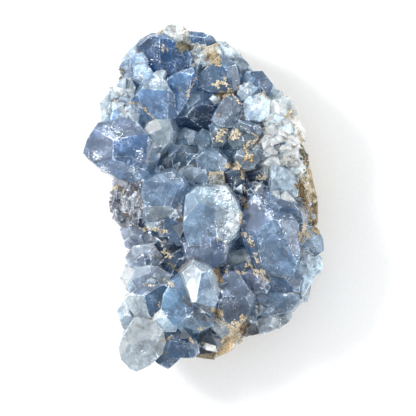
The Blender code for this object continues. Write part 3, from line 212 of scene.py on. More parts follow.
# Zones that tint the small crystals: place in mm, reach in mm and tint
SMALL_TINTS = {
    "left sugar": (-25.0, 30.0, 8.0, "#c6d2de"),
    "left corner": (-28.0, 22.0, 5.0, "#c0cedb"),
    "upper left": (-18.0, 40.0, 6.0, "#b7c6d6"),
    "top cap": (-6.0, 45.5, 6.0, "#b4babd"),
    "top right": (6.0, 41.0, 5.0, "#bccbd8"),
    "upper right rim": (17.0, 32.0, 5.0, "#9db3c9"),
    "right sugar high": (19.0, 25.0, 7.0, "#e4ebf2"),
    "right sugar": (24.0, 16.0, 8.0, "#ffffff"),
    "right grey": (26.0, 6.0, 6.0, "#e0e5e9"),
    "hollow": (2.0, 20.0, 9.0, "#8ba8c3"),
    "rubble": (-4.0, 13.0, 7.0, "#7490ac"),
    "dark right": (13.0, 6.0, 5.0, "#4d647c"),
    "left sugar low": (-21.0, -2.0, 8.0, "#84848f"),
    "left violet": (-19.0, -14.0, 6.0, "#8f9bb0"),
    "teal": (-12.0, -14.0, 4.0, "#26496b"),
    "navy": (11.0, -12.0, 4.0, "#455f7c"),
    "right edge": (30.0, -14.0, 6.0, "#93a8bc"),
    "right mass": (22.0, -28.0, 7.0, "#7590ab"),
    "lower right": (20.0, -35.0, 6.0, "#97a3b1"),
    "lower middle": (3.0, -38.0, 6.0, "#5a6c80"),
    "left low rim": (-22.0, -30.0, 6.0, "#a4b3c2"),
    "bottom left": (-16.0, -45.0, 6.0, "#a9bccc"),
}

# Where marl clings in films and crumbs: a line from and to in mm, its half-width, and its kind
MARL = [
    (-5.7, 46.6, -5.7, 48.2, 0.5, "gold"), (-13.0, 46.8, -12.4, 47.5, 0.5, "tan"),
    (-7.5, 42.8, -4.3, 42.6, 1.0, "olive"), (-11.9, 41.2, -10.2, 41.6, 0.4, "tan"),
    (-11.9, 43.2, -12.0, 41.4, 0.4, "tan"), (-24.4, 34.4, -23.4, 36.2, 0.7, "olive"),
    (-17.2, 25.4, -16.9, 24.9, 0.5, "gold"), (-16.9, 24.9, -13.8, 21.6, 0.25, "tan"),
    (-4.8, 28.6, -4.6, 29.4, 0.6, "tan"), (-4.7, 29.4, -2.3, 34.0, 0.22, "tan"),
    (-21.4, 26.8, -18.6, 26.5, 0.35, "tan"), (0.2, 41.2, 1.7, 41.0, 0.7, "cream"),
    (2.0, 40.4, 4.2, 38.4, 1.2, "tan"), (2.2, 42.6, 3.5, 43.6, 0.7, "tan"),
    (-1.3, 42.6, 1.1, 42.7, 0.5, "cream"), (3.0, 32.2, 5.8, 32.6, 0.85, "cream"),
    (4.9, 29.0, 6.2, 29.2, 0.9, "tan"), (7.2, 30.2, 8.2, 30.4, 0.7, "tan"),
    (8.0, 29.2, 10.3, 26.5, 0.3, "cream"), (3.8, 23.2, 4.5, 23.6, 0.4, "gold"),
    (15.8, 29.6, 16.9, 29.6, 0.5, "cream"), (16.9, 29.4, 18.5, 27.8, 0.3, "tan"),
    (10.5, 20.0, 15.4, 17.2, 0.22, "cream"), (4.0, 16.8, 5.2, 18.8, 0.85, "cream"),
    (8.2, 17.2, 8.8, 18.2, 0.9, "cream"), (11.4, 14.0, 12.4, 15.0, 0.6, "tan"),
    (13.4, 15.6, 15.2, 15.8, 0.7, "cream"), (10.4, 13.0, 12.4, 13.0, 0.5, "tan"),
    (11.6, 10.4, 13.4, 11.0, 0.8, "gold"), (12.2, 11.6, 13.6, 11.6, 0.6, "cream"),
    (6.8, 9.0, 9.4, 8.6, 0.8, "cream"), (1.2, 6.6, 5.3, 6.6, 0.4, "tan"),
    (5.3, 6.8, 5.3, 3.2, 0.35, "tan"), (10.8, 5.8, 10.9, 7.8, 0.6, "tan"),
    (11.0, 5.4, 11.6, 1.0, 0.2, "cream"), (15.0, 5.8, 17.2, 5.6, 0.7, "cream"),
    (11.0, -1.0, 11.8, -3.0, 0.7, "brown"), (10.2, -4.4, 10.2, -7.4, 0.3, "tan"),
    (28.4, -8.6, 29.6, -11.0, 0.8, "cream"), (26.8, -10.4, 27.6, -12.2, 0.6, "tan"),
    (11.0, -10.8, 14.0, -13.2, 0.7, "cream"), (12.0, -12.4, 14.4, -13.8, 0.6, "tan"),
    (14.2, -16.4, 15.0, -18.6, 0.6, "cream"), (15.0, -18.8, 16.4, -20.6, 0.25, "brown"),
    (14.4, -21.0, 16.8, -21.4, 0.6, "cream"), (13.4, -21.2, 18.6, -24.0, 0.22, "tan"),
    (9.2, -21.5, 11.8, -21.5, 0.4, "tan"), (11.2, -18.8, 13.4, -19.8, 0.5, "cream"),
    (3.2, -20.6, 4.8, -24.2, 0.6, "brown"), (5.8, -21.0, 6.6, -22.2, 0.4, "tan"),
    (2.6, -32.2, 4.6, -33.2, 0.7, "tan"), (3.4, -34.6, 6.2, -37.2, 0.9, "white"),
    (11.0, -34.4, 3.0, -45.6, 0.8, "tan"), (8.2, -37.0, 10.0, -43.0, 1.4, "cream"),
    (11.4, -37.0, 12.4, -42.0, 1.0, "brown"), (-18.6, -8.6, -17.4, -9.4, 0.5, "tan"),
    (-15.8, -8.8, -11.4, -9.8, 0.6, "cream"), (-15.2, -11.1, -15.2, -12.3, 0.3, "tan"),
    (-14.6, -14.2, -14.4, -14.9, 0.4, "cream"), (-11.6, -15.8, -9.4, -17.2, 0.7, "cream"),
    (-17.3, -25.2, -14.2, -25.2, 0.3, "cream"), (-11.4, -23.4, -9.2, -25.2, 0.5, "cream"),
    (-9.6, -19.4, -7.8, -20.8, 0.5, "olive"), (-12.8, -30.2, -12.8, -31.0, 0.4, "tan"),
    (-11.2, -38.4, -11.8, -41.0, 0.3, "tan"), (-11.8, -41.0, -8.4, -39.6, 0.3, "tan"),
    (-12.2, -44.5, -10.8, -44.5, 0.4, "olive"), (-4.4, -39.8, -3.2, -41.4, 0.4, "cream"),
    (-1.9, -37.5, -0.2, -37.5, 0.4, "tan"), (2.2, -45.5, 3.1, -45.5, 0.6, "cream"),
    (-0.4, -41.9, 3.0, -43.4, 0.3, "cream"), (-25.8, 2.6, -24.9, 2.8, 0.7, "cream"),
    (-23.6, 4.6, -23.0, 4.6, 0.3, "brown"), (-24.1, 2.3, -23.7, 2.3, 0.3, "brown"),
    (-20.2, 2.0, -19.8, 2.0, 0.3, "brown"), (-22.2, -4.8, -21.4, -6.8, 0.3, "brown"),
    (22.8, 22.6, 25.2, 24.6, 0.5, "cream"), (28.5, 14.0, 31.4, 6.0, 1.1, "olive"),
    (31.0, 6.0, 32.4, -4.0, 1.2, "tan"), (29.6, 2.0, 30.6, -4.0, 0.9, "cream"),
    (24.6, 25.0, 26.4, 19.6, 0.5, "cream"), (26.4, 19.6, 28.8, 14.0, 0.5, "tan"),
    (27.6, 13.4, 30.0, 8.6, 0.5, "dark"), (29.4, 11.0, 31.6, 3.0, 0.9, "tan"),
    (27.2, 3.4, 30.6, -3.6, 1.1, "brown"), (28.2, 6.0, 31.0, 0.0, 0.8, "cream"),
    (29.6, 4.0, 31.2, -2.0, 0.5, "dark"), (31.6, 2.0, 32.8, -6.0, 0.8, "tan"),
    (30.2, -4.0, 32.0, -9.0, 0.6, "dark"), (30.6, -5.0, 32.4, -10.0, 0.8, "tan"),
]
MARL_COLOURS = {
    "cream": ("#efe4cf", "#dccbaa"),
    "tan": ("#decfb3", "#b7a07c"),
    "brown": ("#a38b69", "#78644a"),
    "gold": ("#cdb186", "#957a4e"),
    "olive": ("#8f8a74", "#6c685a"),
    "white": ("#f1ece2", "#ddd3c2"),
    "dark": ("#7d7160", "#453c30"),
}


def linear(code):
    """An sRGB hex code as linear red, green, blue and one."""
    parts = np.array([int(code[i : i + 2], 16) / 255 for i in (1, 3, 5)])
    low = parts / 12.92
    high = ((parts + 0.055) / 1.055) ** 2.4
    return (*np.where(parts <= 0.04045, low, high).tolist(), 1.0)


def soft(code):
    """A tint's linear colour pulled an eighth of the way to its own grey: celestite's blue is
    faint."""
    colour = np.array(linear(code)[:3])
    grey = colour @ (0.21, 0.72, 0.07)
    return np.append((0.9 * colour + 0.1 * grey) * (1.09, 1.13, 1.11), 1.0)


def lattice_noise(points, size, seed):
    """Smooth noise from 0 to 1: random values on a cube lattice of that size in metres, with
    each point taking the eased mean of the eight values around it."""
    values = np.random.default_rng(seed).random((24, 24, 24))
    spot = points / size + 100.0
    whole = np.floor(spot).astype(int)
    part = spot - whole
    part = part * part * (3 - 2 * part)
    total = np.zeros(len(points))
    for corner in np.ndindex(2, 2, 2):
        share = np.prod(np.where(corner, part, 1 - part), axis=1)
        at = (whole + corner) % 24
        total += share * values[at[:, 0], at[:, 1], at[:, 2]]
    return total


def sugar_relief(points, size, seed):
    """Height from about -0.6 to 0.6 of a crust of small crystals: one stands in each cube of a
    lattice of that size, and its height falls with the greatest of the three distances along
    its own random axes. The highest of the 27 crystals around a point counts."""
    source = np.random.default_rng(seed)
    spots = source.random((12, 12, 12, 3))
    axes = np.linalg.qr(source.normal(0, 1, (12, 12, 12, 3, 3)))[0]
    tops = source.random((12, 12, 12))
    spot = points / size + 100.0
    whole = np.floor(spot).astype(int)
    best = np.full(len(points), -9.0)
    for step in np.ndindex(3, 3, 3):
        cell = whole + np.array(step) - 1
        a, b, c = (cell % 12).T
        gap = spot - cell - spots[a, b, c]
        along = np.abs(np.einsum("nj,nkj->nk", gap, axes[a, b, c])).max(axis=1)
        best = np.maximum(best, 0.7 * tops[a, b, c] - 0.9 * along)
    return best - 0.15


# Materials


def new_material(name):
    """An empty node material: its tree and its output node."""
    material = bpy.data.materials.new(name)
    material.use_nodes = True
    material.node_tree.nodes.clear()
    return material, material.node_tree, material.node_tree.nodes.new("ShaderNodeOutputMaterial")


def add(tree, kind, inputs=None, **settings):
    """A shader node of that kind with its settings; inputs maps a socket's name or number to a
    value, a node (its first output) or a socket."""
    made = tree.nodes.new("ShaderNode" + kind)
    for name, value in settings.items():
        setattr(made, name, value)
    for key, value in (inputs or {}).items():
        shown = [s for s in made.inputs if s.enabled]
        socket = shown[key] if isinstance(key, int) else next(s for s in shown if s.name == key)
        if isinstance(value, bpy.types.Node):
            value = next(s for s in value.outputs if s.enabled)
        if isinstance(value, bpy.types.NodeSocket):
            tree.links.new(value, socket)
        else:
            socket.default_value = value
    return made


def ramp(tree, value, stops):
    """A colour ramp over value with (place, grey) stops."""
    made = add(tree, "ValToRGB", {0: value})
    bands = made.color_ramp.elements
    while len(bands) < len(stops):
        bands.new(0.5)
    for band, (place, grey) in zip(bands, stops):
        band.position = place
        band.color = (grey, grey, grey, 1.0)
    return made


def tilted_cells(tree, place, size, tilt):
    """Cells of that size in metres as little flat faces: each one's random colour, and the
    surface normal turned towards it by up to half of tilt."""
    cells = add(tree, "TexVoronoi", {"Vector": place, "Scale": 1 / size})
    way = add(tree, "VectorMath", {0: cells.outputs["Color"], 1: (0.5, 0.5, 0.5)},
              operation="SUBTRACT")
    lean = add(tree, "VectorMath", {0: way, "Scale": tilt}, operation="SCALE")
    normal = add(tree, "NewGeometry").outputs["Normal"]
    turned_normal = add(tree, "VectorMath", {0: normal, 1: lean}, operation="ADD")
    unit = add(tree, "VectorMath", {0: turned_normal}, operation="NORMALIZE")
    shade = add(tree, "SeparateColor", {0: cells.outputs["Color"]})
    return shade, unit


def blend(tree, share, under, over):
    """Share of the over colour laid on the under colour."""
    return add(tree, "Mix", {"Factor": share, "A": under, "B": over}, data_type="RGBA")


def times(tree, body, shade):
    """Two colours multiplied."""
    return add(tree, "Mix", {"Factor": 1.0, "A": body, "B": shade}, data_type="RGBA",
               blend_type="MULTIPLY")


def celestite(name, transmission, rough, veil, glow, cell, tilt, spread):
    """Celestite: strontium sulphate grown as blocky crystals in a vug. Glassy faces over a body
    that is clear to milky, with white veils, cleavage and healed cracks inside. Cell is the
    size in metres of the small faces on it, tilt how far they turn, and spread how much their
    brightness varies."""
    material, tree, out = new_material(name)
    place = add(tree, "TexCoord").outputs["Object"]
    own = add(tree, "Attribute", attribute_name="own").outputs["Vector"]
    tint = add(tree, "Attribute", attribute_name="tint").outputs["Color"]
    ridge = add(tree, "Attribute", attribute_name="to_ridge").outputs["Fac"]
    valley = add(tree, "Attribute", attribute_name="to_valley").outputs["Fac"]
    frost = add(tree, "Attribute", attribute_name="frost").outputs["Fac"]
    dull = add(tree, "Attribute", attribute_name="dull").outputs["Fac"]
    # clouds 7 mm across make the blue deeper and paler inside one crystal
    clouds = add(tree, "TexNoise", {"Vector": own, "Scale": 140.0, "Detail": 3.0})
    body = times(tree, tint, ramp(tree, clouds, [(0.32, 0.80), (0.50, 1.0), (0.70, 1.22)]))
    # finer light and dark wander through it, as through ice
    icy = add(tree, "TexNoise", {"Vector": own, "Scale": 330.0, "Detail": 7.0,
                                 "Roughness": 0.72, "Distortion": 0.8})
    body = times(tree, body, ramp(tree, icy, [(0.38, 1 - 1.5 * spread), (0.62, 1 + 1.5 * spread)]))
    # small faces and cleavage patches, each brighter or darker
    shade, normal = tilted_cells(tree, own, cell, tilt)
    body = times(tree, body, ramp(tree, shade, [(0.0, 1 - 1.5 * spread), (1.0, 1 + 1.5 * spread)]))
    # streaks half a millimetre apart run along each crystal
    stretched = add(tree, "Mapping", {"Vector": own, "Scale": (1.0, 1.0, 0.13)})
    streak = add(tree, "TexNoise", {"Vector": stretched, "Scale": 900.0, "Detail": 3.0})
    body = times(tree, body, ramp(tree, streak, [(0.30, 0.84), (0.70, 1.18)]))
    # milky veils: wisps 1.5 mm apart, gathered in patches
    wisps = add(tree, "TexNoise", {"Vector": own, "Scale": 560.0, "Detail": 6.0,
                                   "Roughness": 0.72, "Distortion": 1.2})
    gathered = add(tree, "TexNoise", {"Vector": own, "Scale": 190.0, "Detail": 2.0})
    wisp_lines = ramp(tree, wisps, [(0.46, 0.0), (0.66, 1.0)])
    wisp_share = ramp(tree, gathered, [(0.40, 0.0), (0.66, veil)])
    veils = add(tree, "Math", {0: wisp_lines, 1: wisp_share}, operation="MULTIPLY")
    veil_tone = blend(tree, 0.65, tint, linear("#e9f0f7"))
    body = blend(tree, veils, body, veil_tone)
    # cleavage cracks: some healed pale, some open and dark
    jagged = add(tree, "VectorMath", {0: icy.outputs["Color"], 1: (0.0008,) * 3, 2: own},
                 operation="MULTIPLY_ADD")
    cracks = add(tree, "TexVoronoi", {"Vector": jagged, "Scale": 170.0},
                 feature="DISTANCE_TO_EDGE")
    line = ramp(tree, cracks, [(0.0, 1.0), (0.03, 0.0)])
    here = ramp(tree, gathered, [(0.44, 0.0), (0.56, 0.6)])
    healed = add(tree, "Math", {0: line, 1: here}, operation="MULTIPLY")
    body = blend(tree, healed, body, veil_tone)
    # striations 0.6 mm apart cross some faces
    lined = add(tree, "TexWave", {"Vector": own, "Scale": 520.0, "Distortion": 2.5, "Detail": 3.0,
                                  "Detail Scale": 0.6}, bands_direction="DIAGONAL")
    crossed = ramp(tree, gathered, [(0.46, 0.0), (0.60, 1.0)])
    pale_line = ramp(tree, lined, [(0.72, 0.0), (0.98, 0.22)])
    drawn = add(tree, "Math", {0: pale_line, 1: crossed}, operation="MULTIPLY")
    body = blend(tree, drawn, body, veil_tone)
    # painted glints: white specks a fifth of a millimetre across, in swarms
    glint_noise = add(tree, "TexNoise", {"Vector": place, "Scale": 1700.0, "Detail": 1.0})
    glint_swarm = add(tree, "Math", {0: frost, 1: 0.28, 2: glint_noise}, operation="MULTIPLY_ADD")
    glint_swarm = add(tree, "Math", {0: gathered, 1: 0.16, 2: glint_swarm}, operation="MULTIPLY_ADD")
    painted_glint = ramp(tree, glint_swarm, [(0.835, 0.0), (0.865, 0.9)])
    body = blend(tree, painted_glint, body, linear("#f6f9fb"))
    # painted highlight along the ridges, partly real bruising: edges paler for a third of a
    # millimetre, unevenly
    grain = add(tree, "TexNoise", {"Vector": place, "Scale": 1400.0, "Detail": 4.0})
    uneven = add(tree, "Math", {0: grain, 1: 0.9, 2: ridge}, operation="MULTIPLY_ADD")
    edge = ramp(tree, uneven, [(0.47, 0.8), (0.60, 0.0)])
    struck = ramp(tree, gathered, [(0.42, 0.10), (0.57, 1.0)])
    bruise_and_highlight = add(tree, "Math", {0: edge, 1: struck}, operation="MULTIPLY")
    body = blend(tree, bruise_and_highlight, body, linear("#dfe9f2"))
    # frosted places, broken into shards a millimetre long, each paler or darker
    frosty = add(tree, "Math", {0: icy, 1: 4.0, 2: frost}, operation="MULTIPLY_ADD")
    frosted = add(tree, "MapRange", {0: frosty, 1: 2.35, 2: 3.3, 3: 0.0, 4: 0.85})
    long = add(tree, "Mapping", {"Vector": own, "Scale": (1.0, 0.45, 1.0)})
    shards = add(tree, "TexVoronoi", {"Vector": long, "Scale": 1300.0})
    shard = ramp(tree, shards.outputs["Color"], [(0.15, 0.38), (0.75, 1.05)])
    body = blend(tree, frosted, body, times(tree, linear("#e3ebf3"), shard))
    # larger shards inside the clear body
    inner = add(tree, "TexVoronoi", {"Vector": jagged, "Scale": 420.0})
    inner_shade = ramp(tree, inner.outputs["Color"], [(0.15, 1 - 1.8 * spread),
                                                      (0.85, 1 + 1.8 * spread)])
    body = times(tree, body, inner_shade)
    # painted light right at the contacts between crystals, half again as bright against the shade
    # there, and painted shade a tenth darker just beside them; here and there the contacts hold
    # marl
    body = times(tree, body, ramp(tree, valley, [(0.0, 1.5), (0.10, 0.9), (0.35, 1.0)]))
    thread = add(tree, "Math", {0: grain, 1: 0.5, 2: valley}, operation="MULTIPLY_ADD")
    thread = ramp(tree, thread, [(0.33, 1.0), (0.42, 0.0)])
    place_clouds = add(tree, "TexNoise", {"Vector": place, "Scale": 130.0})
    held = ramp(tree, place_clouds, [(0.52, 0.0), (0.60, 0.8)])
    threads = add(tree, "Math", {0: thread, 1: held}, operation="MULTIPLY")
    body = blend(tree, threads, body, linear("#c9b48f"))
    # the palest places keep their hue
    blue = add(tree, "SeparateColor", {0: body}).outputs["Blue"]
    most = add(tree, "Math", {0: blue, 1: 0.97}, operation="MAXIMUM")
    body = times(tree, body, add(tree, "Math", {0: 0.97, 1: most}, operation="DIVIDE"))
    # an etched skin, rougher where frosted
    height = add(tree, "Math", {0: streak, 1: 0.5, 2: grain}, operation="MULTIPLY_ADD")
    etched = ramp(tree, frost, [(0.0, 0.25), (0.8, 1.0)])
    bump = add(tree, "Bump", {"Height": height, "Strength": etched, "Distance": 0.0003,
                              "Normal": normal})
    worn = ramp(tree, gathered, [(0.35, rough), (0.70, rough + 0.16)])
    worn = add(tree, "Math", {0: dull, 1: 0.5, 2: worn}, operation="MULTIPLY_ADD")
    worn = add(tree, "Math", {0: frosted, 1: 0.3, 2: worn}, operation="MULTIPLY_ADD")
    # veils and frost stop the light from passing
    stopped = add(tree, "Math", {0: veils, 1: frosted}, operation="MAXIMUM")
    stopped = add(tree, "Math", {0: stopped, 1: bruise_and_highlight}, operation="MAXIMUM")
    stopped = add(tree, "Math", {0: stopped, 1: painted_glint}, operation="MAXIMUM")
    passing = add(tree, "MapRange", {0: stopped, 1: 0.0, 2: 0.8, 3: transmission, 4: 0.0})
    shader = add(tree, "BsdfPrincipled", {
        "Base Color": body, "Roughness": worn, "IOR": 1.62, "Transmission Weight": passing,
        "Subsurface Weight": 1.0, "Subsurface Radius": (0.8, 0.9, 1.0),
        "Subsurface Scale": glow, "Specular IOR Level": 0.3, "Normal": bump,
    })
    absorb = add(tree, "VolumeAbsorption", {"Color": linear("#b4d2f0"), "Density": 10.0})
    tree.links.new(shader.outputs[0], out.inputs["Surface"])
    tree.links.new(absorb.outputs[0], out.inputs["Volume"])
    return material


def sugar(name, transmission):
    """Sugary celestite: crystals a millimetre or two across, white where their faces are
    frosted. Small bright glints over a pale body."""
    material, tree, out = new_material(name)
    place = add(tree, "TexCoord").outputs["Object"]
    tint = add(tree, "Attribute", attribute_name="tint").outputs["Color"]
    # frost in patches of half a millimetre
    frost = add(tree, "TexNoise", {"Vector": place, "Scale": 1700.0, "Detail": 3.0})
    frosted = ramp(tree, frost, [(0.50, 0.0), (0.68, 0.45)])
    body = blend(tree, frosted, tint, linear("#f4f6f8"))
    bump = add(tree, "Bump", {"Height": frost, "Strength": 0.35, "Distance": 0.0001})
    dull = ramp(tree, frost, [(0.40, 0.06), (0.70, 0.40)])
    shader = add(tree, "BsdfPrincipled", {
        "Base Color": body, "Roughness": dull, "IOR": 1.62, "Transmission Weight": transmission,
        "Subsurface Weight": 1.0, "Subsurface Radius": (0.8, 0.9, 1.0),
        "Subsurface Scale": 0.001, "Specular IOR Level": 0.4, "Normal": bump,
    })
    tree.links.new(shader.outputs[0], out.inputs["Surface"])
    return material


def marl(name):
    """Marl: soft limy clay that filled the vug. Dull, crumbly, cream to brown with no shine."""
    material, tree, out = new_material(name)
    place = add(tree, "TexCoord").outputs["Object"]
    tint = add(tree, "Attribute", attribute_name="tint").outputs["Color"]
    grit = add(tree, "TexNoise", {"Vector": place, "Scale": 2400.0, "Detail": 4.0})
    shade = ramp(tree, grit, [(0.32, 0.55), (0.60, 1.08)])
    body = add(tree, "Mix", {"Factor": 1.0, "A": tint, "B": shade}, data_type="RGBA",
               blend_type="MULTIPLY")
    bump = add(tree, "Bump", {"Height": grit, "Strength": 0.7, "Distance": 0.00015})
    shader = add(tree, "BsdfPrincipled", {"Base Color": body, "Roughness": 0.85,
                                          "Specular IOR Level": 0.3, "Normal": bump})
    tree.links.new(shader.outputs[0], out.inputs["Surface"])
    return material


def host_rock_stone(name):
    """Marly limestone broken from a vug wall: tan and brown with grey grains and pale limy
    patches. Dull, rough, mottled at 1 to 6 mm."""
    material, tree, out = new_material(name)
    place = add(tree, "TexCoord").outputs["Object"]
    patches = add(tree, "TexNoise", {"Vector": place, "Scale": 230.0, "Detail": 5.0,
                                     "Roughness": 0.6})
    patch = ramp(tree, patches, [(0.38, 0.0), (0.60, 1.0)])
    body = add(tree, "Mix", {"Factor": patch, "A": linear("#75674f"), "B": linear("#d2c29f")},
               data_type="RGBA")
    grains = add(tree, "TexVoronoi", {"Vector": place, "Scale": 900.0})
    dark = ramp(tree, grains.outputs["Color"], [(0.14, 1.0), (0.34, 0.0)])
    body = add(tree, "Mix", {"Factor": dark, "A": body, "B": linear("#4a4236")},
               data_type="RGBA")
    lime = add(tree, "TexNoise", {"Vector": place, "Scale": 520.0, "Detail": 4.0})
    limy = ramp(tree, lime, [(0.56, 0.0), (0.66, 0.8)])
    body = add(tree, "Mix", {"Factor": limy, "A": body, "B": linear("#e6dfd0")},
               data_type="RGBA")
    grit = add(tree, "TexNoise", {"Vector": place, "Scale": 1500.0, "Detail": 6.0})
    bump = add(tree, "Bump", {"Height": grit, "Strength": 0.8, "Distance": 0.0004})
    shader = add(tree, "BsdfPrincipled", {"Base Color": body, "Roughness": 0.9,
                                          "Specular IOR Level": 0.3, "Normal": bump})
    tree.links.new(shader.outputs[0], out.inputs["Surface"])
    return material


# Shapes


def new_piece(name, mesh, materials, replaced=()):
    """A finished piece at the origin that rides on the body, with its materials and slot."""
    piece = bpy.data.objects.new(name, mesh)
    bpy.context.scene.collection.objects.link(piece)
    for material in materials:
        mesh.materials.append(material)
    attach(piece, "root")
    if replaced:
        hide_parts(*replaced)
    return piece


def merged_copy(node, flat):
    """A CAD node's triangles joined at their corners; where flat, those in one plane are one
    face."""
    bm = bmesh.new()
    bm.from_mesh(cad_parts[node].data)
    bmesh.ops.remove_doubles(bm, verts=bm.verts, dist=2e-6)
    if flat:
        bmesh.ops.dissolve_limit(bm, angle_limit=math.radians(0.6), verts=bm.verts,
                                 edges=bm.edges)
    return bm


def crystal_groups(bm):
    """Splits the faces into crystals: faces that meet over a ridge are one crystal, and a
    valley is where two crystals meet. Returns each face's group number."""
    group = [-1] * len(bm.faces)
    count = 0
    for start in bm.faces:
        if group[start.index] >= 0:
            continue
        group[start.index] = count
        pile = [start]
        while pile:
            face = pile.pop()
            for edge in face.edges:
                if not edge.is_contiguous or edge.calc_length() < 0.2 * MM:
                    continue
                if edge.calc_face_angle_signed(0.0) < -0.02:
                    continue
                for other in edge.link_faces:
                    if group[other.index] < 0:
                        group[other.index] = count
                        pile.append(other)
        count += 1
    return group


def small_tint(points):
    """The tint of small crystals at those places (N by 3, metres): each zone pulls in
    proportion to how near it is."""
    total = np.zeros((len(points), 3))
    weight = np.zeros(len(points))
    for x, y, reach, code in SMALL_TINTS.values():
        away = np.hypot(points[:, 0] / MM - SHIFT[0] - x, points[:, 1] / MM - y) / reach
        pull = np.exp(-(away**2)) + 0.02 / (0.2 + away**4)
        total += pull[:, None] * soft(code)[:3]
        weight += pull
    return total / weight[:, None]


def name_faces(bm, group):
    """Each face's crystal, or None. A face belongs to a crystal when its plane passes through
    that crystal's top point and it is near it; its other faces take their group's crystal."""
    names = list(CRYSTAL_TINTS)
    tops = np.array([CRYSTAL_TINTS[name][:3] for name in names]) + SHIFT
    middle = np.array([face.calc_center_median()[:] for face in bm.faces]) / MM
    normal = np.array([face.normal[:] for face in bm.faces])
    area = np.array([face.calc_area() for face in bm.faces]) / MM**2
    gap = tops[None] - middle[:, None]
    off = np.abs((gap * normal[:, None]).sum(axis=2))
    flat = np.linalg.norm(gap[:, :, :2], axis=2)
    flat = np.where((off < 0.03) & (area[:, None] > 0.03) & (normal[:, 2:] > 0.2), flat, 99.0)
    best = flat.argmin(axis=1)
    found = [names[b] if flat[i, b] < 13 else None for i, b in enumerate(best)]
    votes = {}
    for number, name, size in zip(group, found, area):
        if name:
            tally = votes.setdefault(number, {})
            tally[name] = tally.get(name, 0) + size
    chosen = {number: max(tally, key=tally.get) for number, tally in votes.items()}
    return [name or chosen.get(number) for number, name in zip(group, found)]


# Sugary margins: middle and half-widths in mm, and how thickly small crystals cover them
SUGARY = [
    (22.5, 17.0, 6.5, 12.0, 1.0), (-25.0, 29.5, 4.6, 8.0, 0.9), (-22.0, -2.0, 4.4, 8.5, 0.9),
    (-8.0, 46.2, 4.6, 2.6, 0.8), (29.0, -21.0, 4.5, 8.0, 0.4), (-19.6, 38.6, 3.6, 4.6, 0.45),
    (-2.0, 41.0, 2.6, 2.6, 0.6), (15.0, 24.5, 5.0, 5.0, 1.0), (8.5, 41.5, 4.0, 2.4, 0.35),
]


def sugar_share(points):
    """How thickly small crystals cover the skin at those places, from 0 to 1."""
    x, y, z = (points / MM - SHIFT).T
    share = np.zeros(len(points))
    for cx, cy, rx, ry, full in SUGARY:
        near = np.exp(-(((x - cx) / rx) ** 4) - ((y - cy) / ry) ** 4)
        share = np.maximum(share, full * near)
    return share * np.clip((z - 12) / 3, 0, 1)


def bare_object(points):
    """A loose set of points as an object, for measuring."""
    mesh = bpy.data.meshes.new("points")
    mesh.vertices.add(len(points))
    mesh.vertices.foreach_set("co", points.ravel())
    made = bpy.data.objects.new("points", mesh)
    bpy.context.scene.collection.objects.link(made)
    return made


def distance_to(points, cloud):
    """How far each point is from the nearest point of the cloud, in mm."""
    moved = bare_object(points)
    target = bare_object(cloud)
    wrap = moved.modifiers.new("nearest", "SHRINKWRAP")
    wrap.wrap_method = "NEAREST_VERTEX"
    wrap.target = target
    found = moved.evaluated_get(bpy.context.evaluated_depsgraph_get()).data
    nearest = np.empty(len(points) * 3)
    found.vertices.foreach_get("co", nearest)
    for item in (moved, target):
        mesh = item.data
        bpy.data.objects.remove(item)
        bpy.data.meshes.remove(mesh)
    return np.linalg.norm(nearest.reshape(-1, 3) - points, axis=1) / MM


def along_edges(edges, spacing):
    """Points along those edges, at most that far apart."""
    ends = np.array([[v.co[:] for v in edge.verts] for edge in edges])
    steps = np.linspace(0, 1, 48)[:, None, None]
    points = ends[None, :, 0] * (1 - steps) + ends[None, :, 1] * steps
    length = np.linalg.norm(ends[:, 0] - ends[:, 1], axis=1)
    every = np.maximum((47 * spacing / np.maximum(length, 1e-6)).astype(int), 1)
    keep = (np.arange(48)[:, None] % every[None]) == 0
    keep[-1] = True
    return points[keep]


def refine(bm, longest, finest):
    """Halves every edge longer than longest, and in the sugary margins longer than finest,
    until few are left."""
    for _ in range(6):
        bmesh.ops.triangulate(bm, faces=bm.faces)
        edges = list(bm.edges)
        ends = np.array([[v.co[:] for v in edge.verts] for edge in edges])
        length = np.linalg.norm(ends[:, 0] - ends[:, 1], axis=1)
        share = sugar_share(ends.mean(axis=1))
        limit = np.where(share > 0.25, finest, longest)
        long = [edges[i] for i in np.flatnonzero(length > limit)]
        if not long:
            break
        bmesh.ops.subdivide_edges(bm, edges=long, cuts=1)
    bmesh.ops.triangulate(bm, faces=bm.faces)


